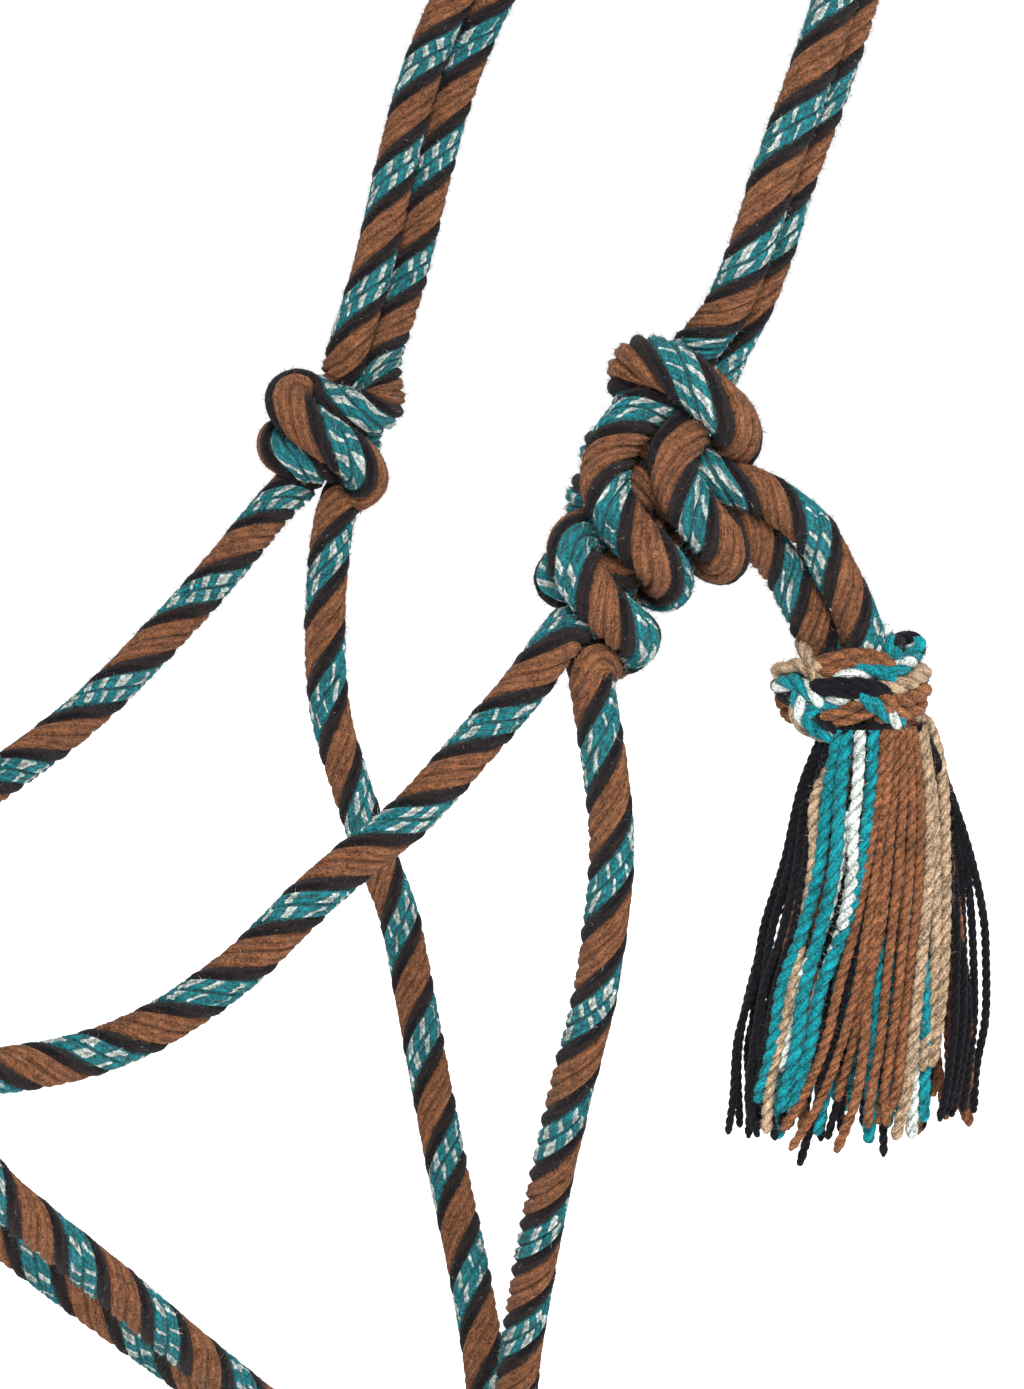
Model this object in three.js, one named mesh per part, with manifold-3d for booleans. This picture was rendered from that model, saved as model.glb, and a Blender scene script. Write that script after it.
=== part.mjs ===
// A rope halter as it sits on a horse's head: one long six-strand rope tied into
// a crown, two cheeks, a double nose band, chin and throat lines, five knots, a tie
// knot on the near side with a tasselled tail, and a double loop for the lead.
// Millimetres, +Z up. The head faces -X and its near (left) side is -Y.
// The origin is the underside of the crown, where it rests on the poll.

import * as THREE from "three";
import { mergeVertices } from "three/addons/utils/BufferGeometryUtils.js";
import Module from "manifold-3d";

const wasm = await Module();
wasm.setup();

// ---- driving dimensions ----
const ROPE = 12; // rope diameter
const GAP = 0.3; // clearance between touching pieces
const SIDES = 10; // sides of a rope's section
const STEP = 22; // length of one facet along a rope
const KNOT_SIDES = 7; // the same two inside a knot
const KNOT_STEP = 6;
const KNOT_ROPE = 10.4; // rope squeezed by the turns around it
const PAIR = ROPE / 2 + GAP; // half the spacing of two ropes lying side by side

const NEAR_KNOT = [-85, -90, -190];
const OFF_KNOT = [-86, 90, -186];
const NEAR_NOSE_KNOT = [-288, -67, -328];
const OFF_NOSE_KNOT = [-286, 67, -324];
const FIADOR = [-77, 0, -488];
const FIADOR_RADIUS = 26;
const FIADOR_CORE = 0.84; // the ropes' middle inside the woven ball, as a share of its radius
const COLLAR = [-27.5, -100, -241];
const COLLAR_RADIUS = 19;
const COLLAR_HEIGHT = 30;
const TAIL_TURN = 30; // degrees that the tail's pair of ropes is turned about its length
const TAIL_PIVOT = [-43.5, -98.5, -203];
const TAIL_PIVOT_RADIUS = 14;
const TAIL_PIVOT_WIDTH = 60; // wider than both tail ropes
const SKIRT_LENGTH = 108;
const SKIRT_TOP = [15, 11]; // half length along the head and half depth, at the collar
const SKIRT_BOTTOM = [37, 20]; // the same at the tips
const SKIRT_LEAN = [6.5, 1.5]; // how far the skirt's middle lies right of the collar's, top and bottom
const SKIRT_SPLIT = 6; // degrees between neighbouring bundles of yarn
const SKIRT_INNER = 0.3; // hollow in the middle of the skirt, as a share of its outline
const LOOP_DROP = 64; // lead loop, below the fiador knot
const LOOP_HALF_WIDTH = 21;
const LOOP_SIDES = 12; // with an odd number of facets, one faces straight down
const LOOP_FACETS = 19;

const COLOURS = {
  rope: 0x7a5a3e,
  brown: 0x8c5532,
  black: 0x1c1e26,
  teal: 0x198c96,
  cream: 0xcdaa82,
};

// ---- small helpers ----
const vec = (p) => new THREE.Vector3(...p);
const add = (p, q, k = 1) => p.map((value, i) => value + k * q[i]);

/** A local frame: right, up and out-of-the-face directions at a point. */
function faceFrame(origin, azimuth, elevation, turn = 0) {
  const a = THREE.MathUtils.degToRad(azimuth);
  const e = THREE.MathUtils.degToRad(elevation);
  const out = new THREE.Vector3(Math.sin(a) * Math.cos(e), -Math.cos(a) * Math.cos(e), Math.sin(e));
  const right = new THREE.Vector3(Math.cos(a), Math.sin(a), 0);
  const up = new THREE.Vector3().crossVectors(out, right);
  const t = THREE.MathUtils.degToRad(turn);
  right.applyAxisAngle(out, t);
  up.applyAxisAngle(out, t);
  return new THREE.Matrix4().makeBasis(right, up, out).setPosition(vec(origin));
}

const place = (points, matrix) => points.map((p) => vec(p).applyMatrix4(matrix).toArray());

/** A smooth curve through hand-chosen points. */
const smooth = (points) => new THREE.CatmullRomCurve3(points.map(vec), false, "centripetal");

/** Points along a curve from one length to another; negative lengths count from its end. */
function stretch(curve, from, to, step) {
  const whole = curve.getLength();
  const start = from < 0 ? whole + from : from;
  const end = to <= 0 ? whole + to : to;
  const count = Math.max(2, Math.ceil((end - start) / step));
  return Array.from({ length: count + 1 }, (_, i) =>
    curve.getPointAt(Math.min(1, (start + ((end - start) * i) / count) / whole)),
  );
}

function asSolid(geometry) {
  geometry.deleteAttribute("normal");
  geometry.deleteAttribute("uv");
  const welded = mergeVertices(geometry, 1e-4);
  return new wasm.Manifold(
    new wasm.Mesh({
      numProp: 3,
      vertProperties: new Float32Array(welded.attributes.position.array),
      triVerts: new Uint32Array(welded.index.array),
    }),
  );
}

function asGeometry(solid) {
  const mesh = solid.getMesh();
  const geometry = new THREE.BufferGeometry();
  geometry.setAttribute("position", new THREE.BufferAttribute(mesh.vertProperties, 3));
  geometry.setIndex(new THREE.BufferAttribute(mesh.triVerts, 1));
  return geometry.toNonIndexed();
}

/** A many-sided rod along a list of points. */
function rod(points, diameter, sides) {
  const section = new THREE.Shape(
    Array.from({ length: sides }, (_, i) => {
      const angle = (2 * Math.PI * (i + 0.5)) / sides;
      return new THREE.Vector2(Math.cos(angle), Math.sin(angle)).multiplyScalar(diameter / 2);
    }),
  );
  return new THREE.ExtrudeGeometry(section, {
    steps: points.length - 1,
    extrudePath: new THREE.CatmullRomCurve3(points, false, "centripetal"),
    bevelEnabled: false,
    curveSegments: 1,
  });
}

const ropeRod = (curve) => asSolid(rod(stretch(curve, 0, 0, STEP), ROPE, SIDES));
const knotRod = (curve, grow = 0) =>
  asSolid(rod(stretch(curve, 0, 0, KNOT_STEP), KNOT_ROPE + 2 * grow, KNOT_SIDES));

/** The largest body of a solid, without the closed pockets between its turns. */
function mainBody(solid) {
  return solid
    .decompose()
    .filter((body) => body.volume() > 0)
    .sort((a, b) => b.volume() - a.volume())[0];
}

function union(solids) {
  return solids.reduce((sum, solid) => sum.add(solid));
}

function ball(centre, radius, detail = 24) {
  const geometry = new THREE.SphereGeometry(radius, detail, detail / 2);
  geometry.translate(...centre);
  return asSolid(geometry);
}

/** A disc around a hinge axis that lies along Y. */
function hingeDisc(centre, radius) {
  const geometry = new THREE.CylinderGeometry(radius, radius, TAIL_PIVOT_WIDTH, 32);
  geometry.translate(...centre);
  return asSolid(geometry);
}

// ---- the ropes' routes ----

// The middle of the doubled crown, from the off side over the poll to the near side.
const CROWN_MIDDLE = [
  [-84, 90, -183],
  [-76, 91, -169],
  [-67, 94, -152],
  [-60, 97, -134],
  [-54, 99, -115],
  [-45, 100, -88],
  [-34, 97, -62],
  [-21, 88, -38],
  [-10, 72, -16],
  [-3, 50, -1],
  [0, 25, 5.5],
  [0, 0, 6],
  [0, -25, 5.5],
  [-3, -50, -1],
  [-9, -72, -16],
  [-17, -88, -38],
  [-28, -96, -62],
  [-39, -98.5, -87],
  [-48, -98, -109],
  [-51.5, -97, -121],
  [-56, -95, -135],
  [-61, -92, -147],
  [-66, -90, -156],
];
// Which way the rear rope lies from the front one, from the off side over the poll to the near side.
const CROWN_SIDES = [
  [0.87, 0.3, -0.5],
  [1, 0, 0],
  [0.76, 0.6, -0.3],
  [0.74, 0.6, -0.3],
];
const CHEEK_NEAR = [
  [-99, -91, -214],
  [-110, -93, -224],
  [-118, -92, -234],
  [-134, -90, -251],
  [-150, -88, -267],
  [-164, -86, -277],
  [-179, -84, -289],
  [-192, -82, -301],
  [-205, -80, -310],
  [-218, -78, -317],
  [-232, -75, -322],
  [-252, -72, -325],
  [-270, -69, -326],
  [-288, -67, -328],
];
const CHEEK_OFF = [
  [-90, 91, -195],
  [-98, 92, -203],
  [-114, 90, -219],
  [-127, 88, -231],
  [-144, 85, -245],
  [-161, 82, -258],
  [-177, 79, -268],
  [-196, 76, -278],
  [-218, 73, -290],
  [-246, 70, -304],
  [-286, 67, -324],
];
const THROAT_NEAR = [
  [-101, -91, -218],
  [-101, -92, -228],
  [-99, -92, -242],
  [-96, -92, -259],
  [-93, -90, -280],
  [-92, -84, -304],
  [-91, -76, -324],
  [-90, -63, -348],
  [-87, -46, -377],
  [-83, -28, -409],
  [-80, -14, -441],
  [-78, -8, -470],
];
const THROAT_OFF = [
  [-84, 90, -194],
  [-84, 90, -206],
  [-86, 90, -224],
  [-87, 90, -246],
  [-86, 89, -267],
  [-81, 87, -287],
  [-75, 83, -308],
  [-70, 78, -325],
  [-69, 71, -344],
  [-70, 60, -365],
  [-71, 46, -392],
  [-73, 27, -422],
  [-75, 14, -447],
  [-77, 8, -472],
];
const CHIN_NEAR = [
  [-84, -7, -484],
  [-104, -14, -476],
  [-126, -23, -463],
  [-152, -33, -444],
  [-186, -45, -416],
  [-220, -55, -386],
  [-254, -62, -356],
  [-286, -67, -331],
];
const CHIN_OFF = CHIN_NEAR.map(([x, y, z]) => [x, -y, z]);
// The middle of the doubled nose band, from the near nose knot to the off one.
const NOSE_MIDDLE = [
  [-288, -67, -326],
  [-305, -66, -319],
  [-328, -58, -310],
  [-346, -40, -303],
  [-354, -15, -300],
  [-354, 15, -299],
  [-346, 40, -300],
  [-328, 58, -306],
  [-305, 66, -315],
  [-286, 67, -322],
];
const NOSE_SIDE = [0.34, 0, 0.94];
// The middle of the doubled tail, from the tie knot to the collar.
const TAIL_MIDDLE = [
  [-61.5, -94, -190.5],
  [-53.5, -96, -194],
  [-47.5, -97.5, -198],
  [-43.5, -98.5, -203],
  [-40.5, -99.5, -208.5],
  [-38, -100, -213.5],
  [-35, -100, -218.5],
  [-31.5, -100, -226],
  [-29.5, -100, -232],
  [-27.5, -100, -240.5],
];

// Faces of the knots: the directions that their turns are laid out in.
const NEAR_FACE = faceFrame(NEAR_KNOT, -28, 8);
const OFF_FACE = faceFrame(OFF_KNOT, -28, 8);
const NOSE_FACE = faceFrame(NEAR_NOSE_KNOT, -20, 0, 95);

// Turns of a two-rope overhand knot, seen on its face.
const SIDE_KNOT_TURNS = [
  [
    [1, 11, -5],
    [2, 3, -9],
    [9, -2, -9],
    [14.5, -5, -6],
    [14, -9.5, -3],
    [8, -11.5, -1],
    [1, -12, -1],
    [-5, -12.5, 0],
    [-11, -11, 2],
    [-16, -7.5, 1],
    [-16.5, -2.5, -4],
    [-11, 0.5, -9],
    [-4, -3, -11],
    [-4, -10, -8],
  ],
  [
    [16.5, 9, -6],
    [18.5, 3.5, -1],
    [14, 1.5, 4.5],
    [6, 5, 3],
    [-2, 10, -4],
    [-9, 14, -4],
    [-12.8, 12, 3],
    [-12.3, 7, 8],
    [-8.6, 2.5, 10.5],
    [-3.2, -1.5, 11.5],
    [3.2, -5.5, 10.5],
    [9.5, -8.5, 6.5],
    [13, -10.5, 0],
    [10.5, -12.5, -6],
    [4, -13, -9],
  ],
];
// The near side knot, seen on the near face.
const NEAR_KNOT_TURNS = [
  [
    [-11, -30, -3],
    [-4.5, -25.5, -8],
    [-2, -19, -13],
    [-7, -13.5, -15],
    [-15, -14, -12],
    [-21.4, -19, -6],
    [-22.7, -24.7, 0],
    [-18, -29, 2.5],
    [-10, -27, 0],
    [-3, -21, -3],
  ],
  [
    [-5, -8, -12],
    [-13, -5.5, -5],
    [-18.6, -8.5, 2],
    [-20.4, -14.3, 7],
    [-17.3, -20.4, 9],
    [-11.5, -26, 9.5],
    [-5.6, -31.6, 8.5],
    [-0.8, -36.2, 3],
    [0, -38.3, -4],
    [-5, -35, -9],
    [-10, -33, -7],
  ],
];
const TIE_LOOP_TURNS = [
  [
    [-1, -12, -9],
    [-3, 0, -12],
    [-2, 12, -10],
    [-0.5, 22, -7],
    [1, 31, -1],
    [3.5, 35.5, 6],
    [8, 34, 10],
    [13, 30, 12.5],
    [18.5, 25, 12],
    [24, 20, 8],
    [26, 14.5, 0.5],
    [22.5, 7.5, -8],
    [15, -1, -13],
    [6, -9, -15],
  ],
];
// The crown's doubled end hitched through and around the tie loop.
const HITCH_TURNS = [
  [
    [14.5, 36, 1.5],
    [8.5, 33, -1],
    [1.8, 24.6, 2],
    [-5.8, 17.8, 6],
    [-10.6, 11, 8],
    [-11.8, 3.3, 8],
    [-8.6, -3.6, 8],
    [-3, -10.2, 7],
    [3.8, -16, 4],
    [9, -21.5, -2],
    [9.5, -25, -9],
    [5, -22, -15],
    [-3, -15, -19],
    [-10, -6, -18],
    [-13.5, 1, -12],
    [-11, 6, -6],
    [-4, 7.5, -5],
  ],
  [
    [19, 34, -9.5],
    [17, 32, -8],
    [11, 23, -3],
    [5.5, 15.3, 4],
    [4, 8.2, 7.5],
    [7.4, 1.3, 8.5],
    [12.8, -4.2, 8],
    [18.5, -8.6, 5],
    [23.8, -11.5, 0],
    [25, -14, -7],
    [20, -13, -16],
    [10, -6, -22],
    [-2, 3, -22],
    [-9, 10, -17],
    [-9.5, 14, -10],
    [-4, 16, -5],
  ],
  [
    [-11, 6, -6],
    [4, 5, -6],
    [11, 0.5, -7],
  ],
  [
    [-9.5, 14, -10],
    [5, 13.5, -4],
    [13, 9.5, -5],
  ],
];

/** Two curves side by side: a middle route shifted along a direction that turns along it. */
function pair(middle, sides) {
  const shifted = (sign) =>
    middle.map((point, i) => {
      const t = (i / (middle.length - 1)) * (sides.length - 1);
      const k = Math.min(Math.floor(t), sides.length - 2);
      const ahead = vec(middle[Math.min(i + 1, middle.length - 1)]);
      const along = ahead.sub(vec(middle[Math.max(i - 1, 0)])).normalize();
      const side = vec(sides[k]).lerp(vec(sides[k + 1]), t - k);
      side.addScaledVector(along, -side.dot(along)).normalize();
      return add(point, side.toArray(), sign * PAIR);
    });
  return [smooth(shifted(-1)), smooth(shifted(1))];
}

/** The tail's two ropes lie side by side, turned a little away from the near face. */
function tailPair() {
  const out = new THREE.Vector3().setFromMatrixColumn(NEAR_FACE, 2);
  const shifted = (sign) =>
    TAIL_MIDDLE.map((point, i) => {
      const ahead = vec(TAIL_MIDDLE[Math.min(i + 1, TAIL_MIDDLE.length - 1)]);
      const along = ahead.sub(vec(TAIL_MIDDLE[Math.max(i - 1, 0)])).normalize();
      const side = new THREE.Vector3().crossVectors(out, along).normalize();
      side.applyAxisAngle(along.normalize(), THREE.MathUtils.degToRad(TAIL_TURN));
      return add(point, side.toArray(), sign * PAIR);
    });
  return [smooth(shifted(1)), smooth(shifted(-1))];
}

/** One rope of the lead loop, hanging in a plane across the head. */
function loopCurve(x) {
  const top = FIADOR[2] - FIADOR_RADIUS;
  const half = [
    [0.38, 0.3],
    [0.76, -0.2],
    [1, -0.45],
    [0.86, -0.76],
    [0.36, -0.99],
  ].map(([across, down]) => [across * LOOP_HALF_WIDTH, top + down * LOOP_DROP]);
  const other = [...half].reverse().map(([y, z]) => [-y, z]);
  return smooth([...half, ...other].map(([y, z]) => [x, y, z]));
}

/** A woven ball: three passes around with four scallops, over one and under one. */
function wovenBall(centre, radius) {
  const passes = 3;
  const scallops = 4;
  const belt = radius - ROPE * 0.72;
  const rise = radius * 0.5;
  const weave = ROPE * 0.3;
  const count = 72;
  const points = Array.from({ length: count }, (_, i) => {
    const t = (2 * Math.PI * i) / count;
    const wave = scallops * t;
    const reach = belt * Math.cos(0.62 * Math.cos(wave)) + weave * Math.sin(2 * wave);
    return new THREE.Vector3(
      centre[0] + reach * Math.cos(passes * t),
      centre[1] + reach * Math.sin(passes * t),
      centre[2] + rise * Math.cos(wave),
    );
  });
  points.push(points[0].clone());
  return points;
}

/** The oval knot woven from the tail's unlaid strands. */
function collar() {
  const [r, h] = [COLLAR_RADIUS, COLLAR_HEIGHT / 2];
  const lower = [
    [0, -h],
    [0.45 * r, -0.96 * h],
    [0.76 * r, -0.78 * h],
    [0.95 * r, -0.38 * h],
  ];
  const upper = lower.map(([x, y]) => [x, -y]).reverse();
  const profile = [...lower, [r, 0], ...upper].map(([x, y]) => new THREE.Vector2(x, y));
  const geometry = new THREE.LatheGeometry(profile, 20);
  geometry.rotateX(Math.PI / 2);
  geometry.translate(...COLLAR);
  return asSolid(geometry);
}

/** A sector of the tassel's skirt, by angles from +X round towards the near side. */
function skirtSector(fromDegrees, toDegrees) {
  const from = THREE.MathUtils.degToRad(fromDegrees + SKIRT_SPLIT / 2);
  const to = THREE.MathUtils.degToRad(toDegrees - SKIRT_SPLIT / 2);
  const steps = 4;
  const arc = (radius, i) => {
    const angle = from + ((to - from) * i) / steps;
    return new THREE.Vector2(radius * Math.cos(angle), radius * Math.sin(angle));
  };
  const outline = Array.from({ length: steps + 1 }, (_, i) => arc(1, i));
  outline.push(arc(SKIRT_INNER, steps), arc(SKIRT_INNER, 0));
  const geometry = new THREE.ExtrudeGeometry(new THREE.Shape(outline), {
    depth: SKIRT_LENGTH,
    steps: 4,
    bevelEnabled: false,
  });
  // The sector flares downwards and leans.
  const position = geometry.attributes.position;
  const right = new THREE.Vector3().setFromMatrixColumn(NEAR_FACE, 0);
  for (let i = 0; i < position.count; i++) {
    const flare = Math.sin(((position.getZ(i) / SKIRT_LENGTH) * Math.PI) / 2);
    const [a, b] = SKIRT_TOP.map((top, k) => THREE.MathUtils.lerp(top, SKIRT_BOTTOM[k], flare));
    const lean = THREE.MathUtils.lerp(...SKIRT_LEAN, position.getZ(i) / SKIRT_LENGTH);
    position.setX(i, COLLAR[0] + position.getX(i) * a + lean * right.x);
    position.setY(i, COLLAR[1] - position.getY(i) * b + lean * right.y);
    position.setZ(i, COLLAR[2] - COLLAR_HEIGHT / 2 - position.getZ(i));
  }
  return asSolid(geometry).subtract(ball(COLLAR, COLLAR_RADIUS + 2 * GAP));
}

/** The side of the tail's pivot nearer the tie knot, with the disc that the tail turns around. */
function tailRootZone(grow) {
  const size = 200;
  const geometry = new THREE.BoxGeometry(size, size, size);
  geometry.translate(0, 0, size / 2);
  const along = vec(TAIL_PIVOT).sub(vec(COLLAR)).setY(0).normalize();
  geometry.applyQuaternion(
    new THREE.Quaternion().setFromUnitVectors(new THREE.Vector3(0, 0, 1), along),
  );
  geometry.translate(...TAIL_PIVOT);
  return asSolid(geometry).add(hingeDisc(TAIL_PIVOT, TAIL_PIVOT_RADIUS + grow));
}

// ---- the pieces ----
const group = new THREE.Group();

function piece(name, solid, colour = COLOURS.rope) {
  const material = new THREE.MeshStandardMaterial({ color: colour, roughness: 0.95, metalness: 0 });
  const mesh = new THREE.Mesh(asGeometry(mainBody(solid)), material);
  mesh.name = name;
  group.add(mesh);
}

const [crownFront, crownRear] = pair(CROWN_MIDDLE, CROWN_SIDES);
const [noseLower, noseUpper] = pair(NOSE_MIDDLE, [NOSE_SIDE, NOSE_SIDE]);
const [tailOuter, tailInner] = tailPair();
const cheekNear = smooth(CHEEK_NEAR);
const cheekOff = smooth(CHEEK_OFF);
const throatNear = smooth(THROAT_NEAR);
const throatOff = smooth(THROAT_OFF);
const chinNear = smooth(CHIN_NEAR);
const chinOff = smooth(CHIN_OFF);

/** A knot: its turns, and the first few millimetres of each rope that leaves it. */
function tie(turns, ends, grow = 0) {
  const stubs = ends.map(([curve, reach]) => {
    const whole = curve.getLength();
    const points =
      reach > 0
        ? stretch(curve, 0, reach + grow, STEP)
        : stretch(curve, whole + reach - grow, whole, STEP);
    return asSolid(rod(points, ROPE + 2 * grow, SIDES));
  });
  return union([...stubs, ...turns.map((turn) => knotRod(smooth(turn), grow))]);
}

// How far each knot reaches along a rope; a negative reach is from the rope's far end.
const CROWN_OFF_REACH = 22;
const CROWN_NEAR_REACH = -8;
const CHEEK_NEAR_REACH = 14;
const CHEEK_OFF_REACH = 22;
const THROAT_NEAR_REACH = 14;
const THROAT_OFF_REACH = 16;
const NOSE_REACH = 22;
const TAIL_REACH = 14;

const onFace = (turns, face) => turns.map((turn) => place(turn, face));
const nearNoseTurns = onFace(SIDE_KNOT_TURNS, NOSE_FACE);
const toOffNose = ([x, y, z]) => [
  x + OFF_NOSE_KNOT[0] - NEAR_NOSE_KNOT[0],
  -y,
  z + OFF_NOSE_KNOT[2] - NEAR_NOSE_KNOT[2],
];
const offNoseTurns = nearNoseTurns.map((turn) => turn.map(toOffNose));

const knots = {
  off_side_knot: (grow) =>
    tie(
      onFace(SIDE_KNOT_TURNS, OFF_FACE),
      [
        [crownFront, CROWN_OFF_REACH],
        [crownRear, CROWN_OFF_REACH],
        [cheekOff, CHEEK_OFF_REACH],
        [throatOff, THROAT_OFF_REACH],
      ],
      grow,
    ),
  near_side_knot: (grow) =>
    tie(
      onFace(NEAR_KNOT_TURNS, NEAR_FACE),
      [
        [cheekNear, CHEEK_NEAR_REACH],
        [throatNear, THROAT_NEAR_REACH],
      ],
      grow,
    ),
  tie_loop: (grow) => tie(onFace(TIE_LOOP_TURNS, NEAR_FACE), [], grow),
  tie_hitch: (grow) =>
    tie(
      onFace(HITCH_TURNS, NEAR_FACE),
      [
        [crownFront, CROWN_NEAR_REACH],
        [crownRear, CROWN_NEAR_REACH],
        [tailOuter, TAIL_REACH],
        [tailInner, TAIL_REACH],
      ],
      grow,
    ),
  nose_knot_near: (grow) =>
    tie(
      nearNoseTurns,
      [
        [cheekNear, -NOSE_REACH],
        [chinNear, -NOSE_REACH],
        [noseLower, NOSE_REACH],
        [noseUpper, NOSE_REACH],
      ],
      grow,
    ),
  nose_knot_off: (grow) =>
    tie(
      offNoseTurns,
      [
        [cheekOff, -NOSE_REACH],
        [chinOff, -NOSE_REACH],
        [noseLower, -NOSE_REACH],
        [noseUpper, -NOSE_REACH],
      ],
      grow,
    ),
  fiador_knot: (grow) =>
    union([
      asSolid(rod(wovenBall(FIADOR, FIADOR_RADIUS), KNOT_ROPE + 2 * grow, KNOT_SIDES)),
      ball(FIADOR, FIADOR_RADIUS * FIADOR_CORE + grow, 16),
    ]),
};

/** A solid less the room that the named knots take: a grown knot, and the knot itself in tight turns. */
const clear = (solid, names) =>
  names.reduce((rest, name) => rest.subtract(knots[name](GAP)).subtract(knots[name](0)), solid);
const ropeBetween = (curve, ...names) => clear(ropeRod(curve), names);
const collarHollow = ball(COLLAR, COLLAR_RADIUS + GAP);

piece("off_side_knot", knots.off_side_knot(0));
piece("near_side_knot", knots.near_side_knot(0));
piece("tie_loop", clear(knots.tie_loop(0), ["near_side_knot"]));
piece("tie_hitch", clear(knots.tie_hitch(0), ["tie_loop", "near_side_knot"]));
piece("nose_knot_near", knots.nose_knot_near(0));
piece("nose_knot_off", knots.nose_knot_off(0));
piece("fiador_knot", knots.fiador_knot(0));
piece("crown_front_rope", ropeBetween(crownFront, "off_side_knot", "tie_hitch"));
piece("crown_rear_rope", ropeBetween(crownRear, "off_side_knot", "tie_hitch"));
piece("cheek_near", ropeBetween(cheekNear, "near_side_knot", "nose_knot_near"));
piece("cheek_off", ropeBetween(cheekOff, "off_side_knot", "nose_knot_off"));
piece("throat_near", ropeBetween(throatNear, "near_side_knot", "fiador_knot"));
piece("throat_off", ropeBetween(throatOff, "off_side_knot", "fiador_knot"));
piece("chin_near", ropeBetween(chinNear, "fiador_knot", "nose_knot_near"));
piece("chin_off", ropeBetween(chinOff, "fiador_knot", "nose_knot_off"));
piece("nose_band_lower", ropeBetween(noseLower, "nose_knot_near", "nose_knot_off"));
piece("nose_band_upper", ropeBetween(noseUpper, "nose_knot_near", "nose_knot_off"));

// The tail bends at a hinge just behind the tie knot.
for (const [name, curve] of [
  ["outer", tailOuter],
  ["inner", tailInner],
]) {
  const whole = ropeRod(curve);
  piece(`tail_root_${name}`, clear(whole.intersect(tailRootZone(0)), ["tie_hitch"]));
  piece(`tail_rope_${name}`, whole.subtract(tailRootZone(GAP)).subtract(collarHollow));
}
piece("tail_collar", collar());

// The lead loop swings under the fiador knot.
const swingHollow = ball(FIADOR, FIADOR_RADIUS + 3 * GAP);
for (const [name, x] of [
  ["front", FIADOR[0] - PAIR],
  ["rear", FIADOR[0] + PAIR],
]) {
  const points = loopCurve(x).getSpacedPoints(LOOP_FACETS);
  piece(`lead_loop_${name}`, asSolid(rod(points, ROPE, LOOP_SIDES)).subtract(swingHollow));
}

// The tail's unlaid yarns hang from the collar as a skirt.
const SKIRT_SECTORS = {
  tassel_black_front: [163, 208, COLOURS.black],
  tassel_teal: [138, 163, COLOURS.teal],
  tassel_brown: [98, 138, COLOURS.brown],
  tassel_cream: [80, 98, COLOURS.cream],
  tassel_black_rear: [28, 80, COLOURS.black],
  tassel_brown_inner: [-37, 28, COLOURS.brown],
  tassel_teal_inner: [-92, -37, COLOURS.teal],
  tassel_black_inner: [-152, -92, COLOURS.black],
};
for (const [name, [from, to, colour]] of Object.entries(SKIRT_SECTORS)) {
  piece(name, skirtSector(from, to), colour);
}

export default group;
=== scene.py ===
"""A knotted rope halter: laid wool ropes, their knots and a tasselled tail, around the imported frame."""

import math

import bpy
import numpy as np
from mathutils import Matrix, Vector


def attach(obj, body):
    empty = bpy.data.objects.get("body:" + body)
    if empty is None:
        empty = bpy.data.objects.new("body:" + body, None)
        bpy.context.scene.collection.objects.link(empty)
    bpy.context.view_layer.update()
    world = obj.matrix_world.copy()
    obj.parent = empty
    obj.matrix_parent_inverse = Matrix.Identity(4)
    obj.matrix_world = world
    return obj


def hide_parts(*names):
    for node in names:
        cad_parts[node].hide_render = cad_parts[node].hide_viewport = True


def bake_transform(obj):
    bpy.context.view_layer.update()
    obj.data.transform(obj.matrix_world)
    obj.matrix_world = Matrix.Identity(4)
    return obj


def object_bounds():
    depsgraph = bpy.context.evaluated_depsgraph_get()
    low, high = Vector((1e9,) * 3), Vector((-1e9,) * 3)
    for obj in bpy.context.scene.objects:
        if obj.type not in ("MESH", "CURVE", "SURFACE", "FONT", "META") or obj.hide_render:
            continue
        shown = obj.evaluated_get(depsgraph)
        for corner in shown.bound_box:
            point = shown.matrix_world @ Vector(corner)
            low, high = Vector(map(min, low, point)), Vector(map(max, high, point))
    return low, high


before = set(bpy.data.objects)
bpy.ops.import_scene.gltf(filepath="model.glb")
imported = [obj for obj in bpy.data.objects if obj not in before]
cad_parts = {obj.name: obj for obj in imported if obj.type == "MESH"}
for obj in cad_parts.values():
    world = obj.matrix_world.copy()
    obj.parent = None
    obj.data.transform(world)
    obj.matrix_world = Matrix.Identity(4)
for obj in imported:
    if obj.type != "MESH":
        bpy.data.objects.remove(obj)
cad_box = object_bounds()

MM = 0.001
rng = np.random.default_rng(7)

# ---- driving sizes, in millimetres ----
ROPE = 12.0
KNOT_ROPE = 13.4  # a rope spreads where it is bent and pressed
PITCH = 35.4  # one turn of a rope's lay
STEP = 0.8  # between rings along a rope
PAIR = ROPE / 2 + 0.3
VALLEY = 0.17  # depth of the groove between strands, as a share of the radius
RIDGES = (2, 2, 1, 2, 2, 1)  # along each strand, where its yarns show
RIDGE_DEPTH = 0.07
YARN_TWIST = 2.2  # a yarn's pitch, as a share of its thickness
STRAY_HAIRS = 0.3  # share of the loose fibres that lie over a strand of another colour
LUMPS = 0.006  # unevenness of the surface, as a share of the radius
HAIR_LENGTH = (0.3, 2.2)  # the shortest loose fibre, and the most that is added to it
HAIR_RADIUS = (0.03, 0.055)
HAIR_SUNK = 0.15  # how deep its root is
ROPE_HAIRS = 1.0  # loose fibres to a square millimetre
YARN_HAIRS = 0.55
FIBRE_LENGTH = 2.6
FIBRES_PER_STRAND = 17.0

# How much of a rope's girth each strand takes: brown, brown, black, teal, teal and black.
STRAND_SHARES = (1.08, 1.08, 0.96, 0.96, 0.96, 0.96)
BROWN, TEAL = 1.0, 4.0  # the middle of each band, counted in strands

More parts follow.
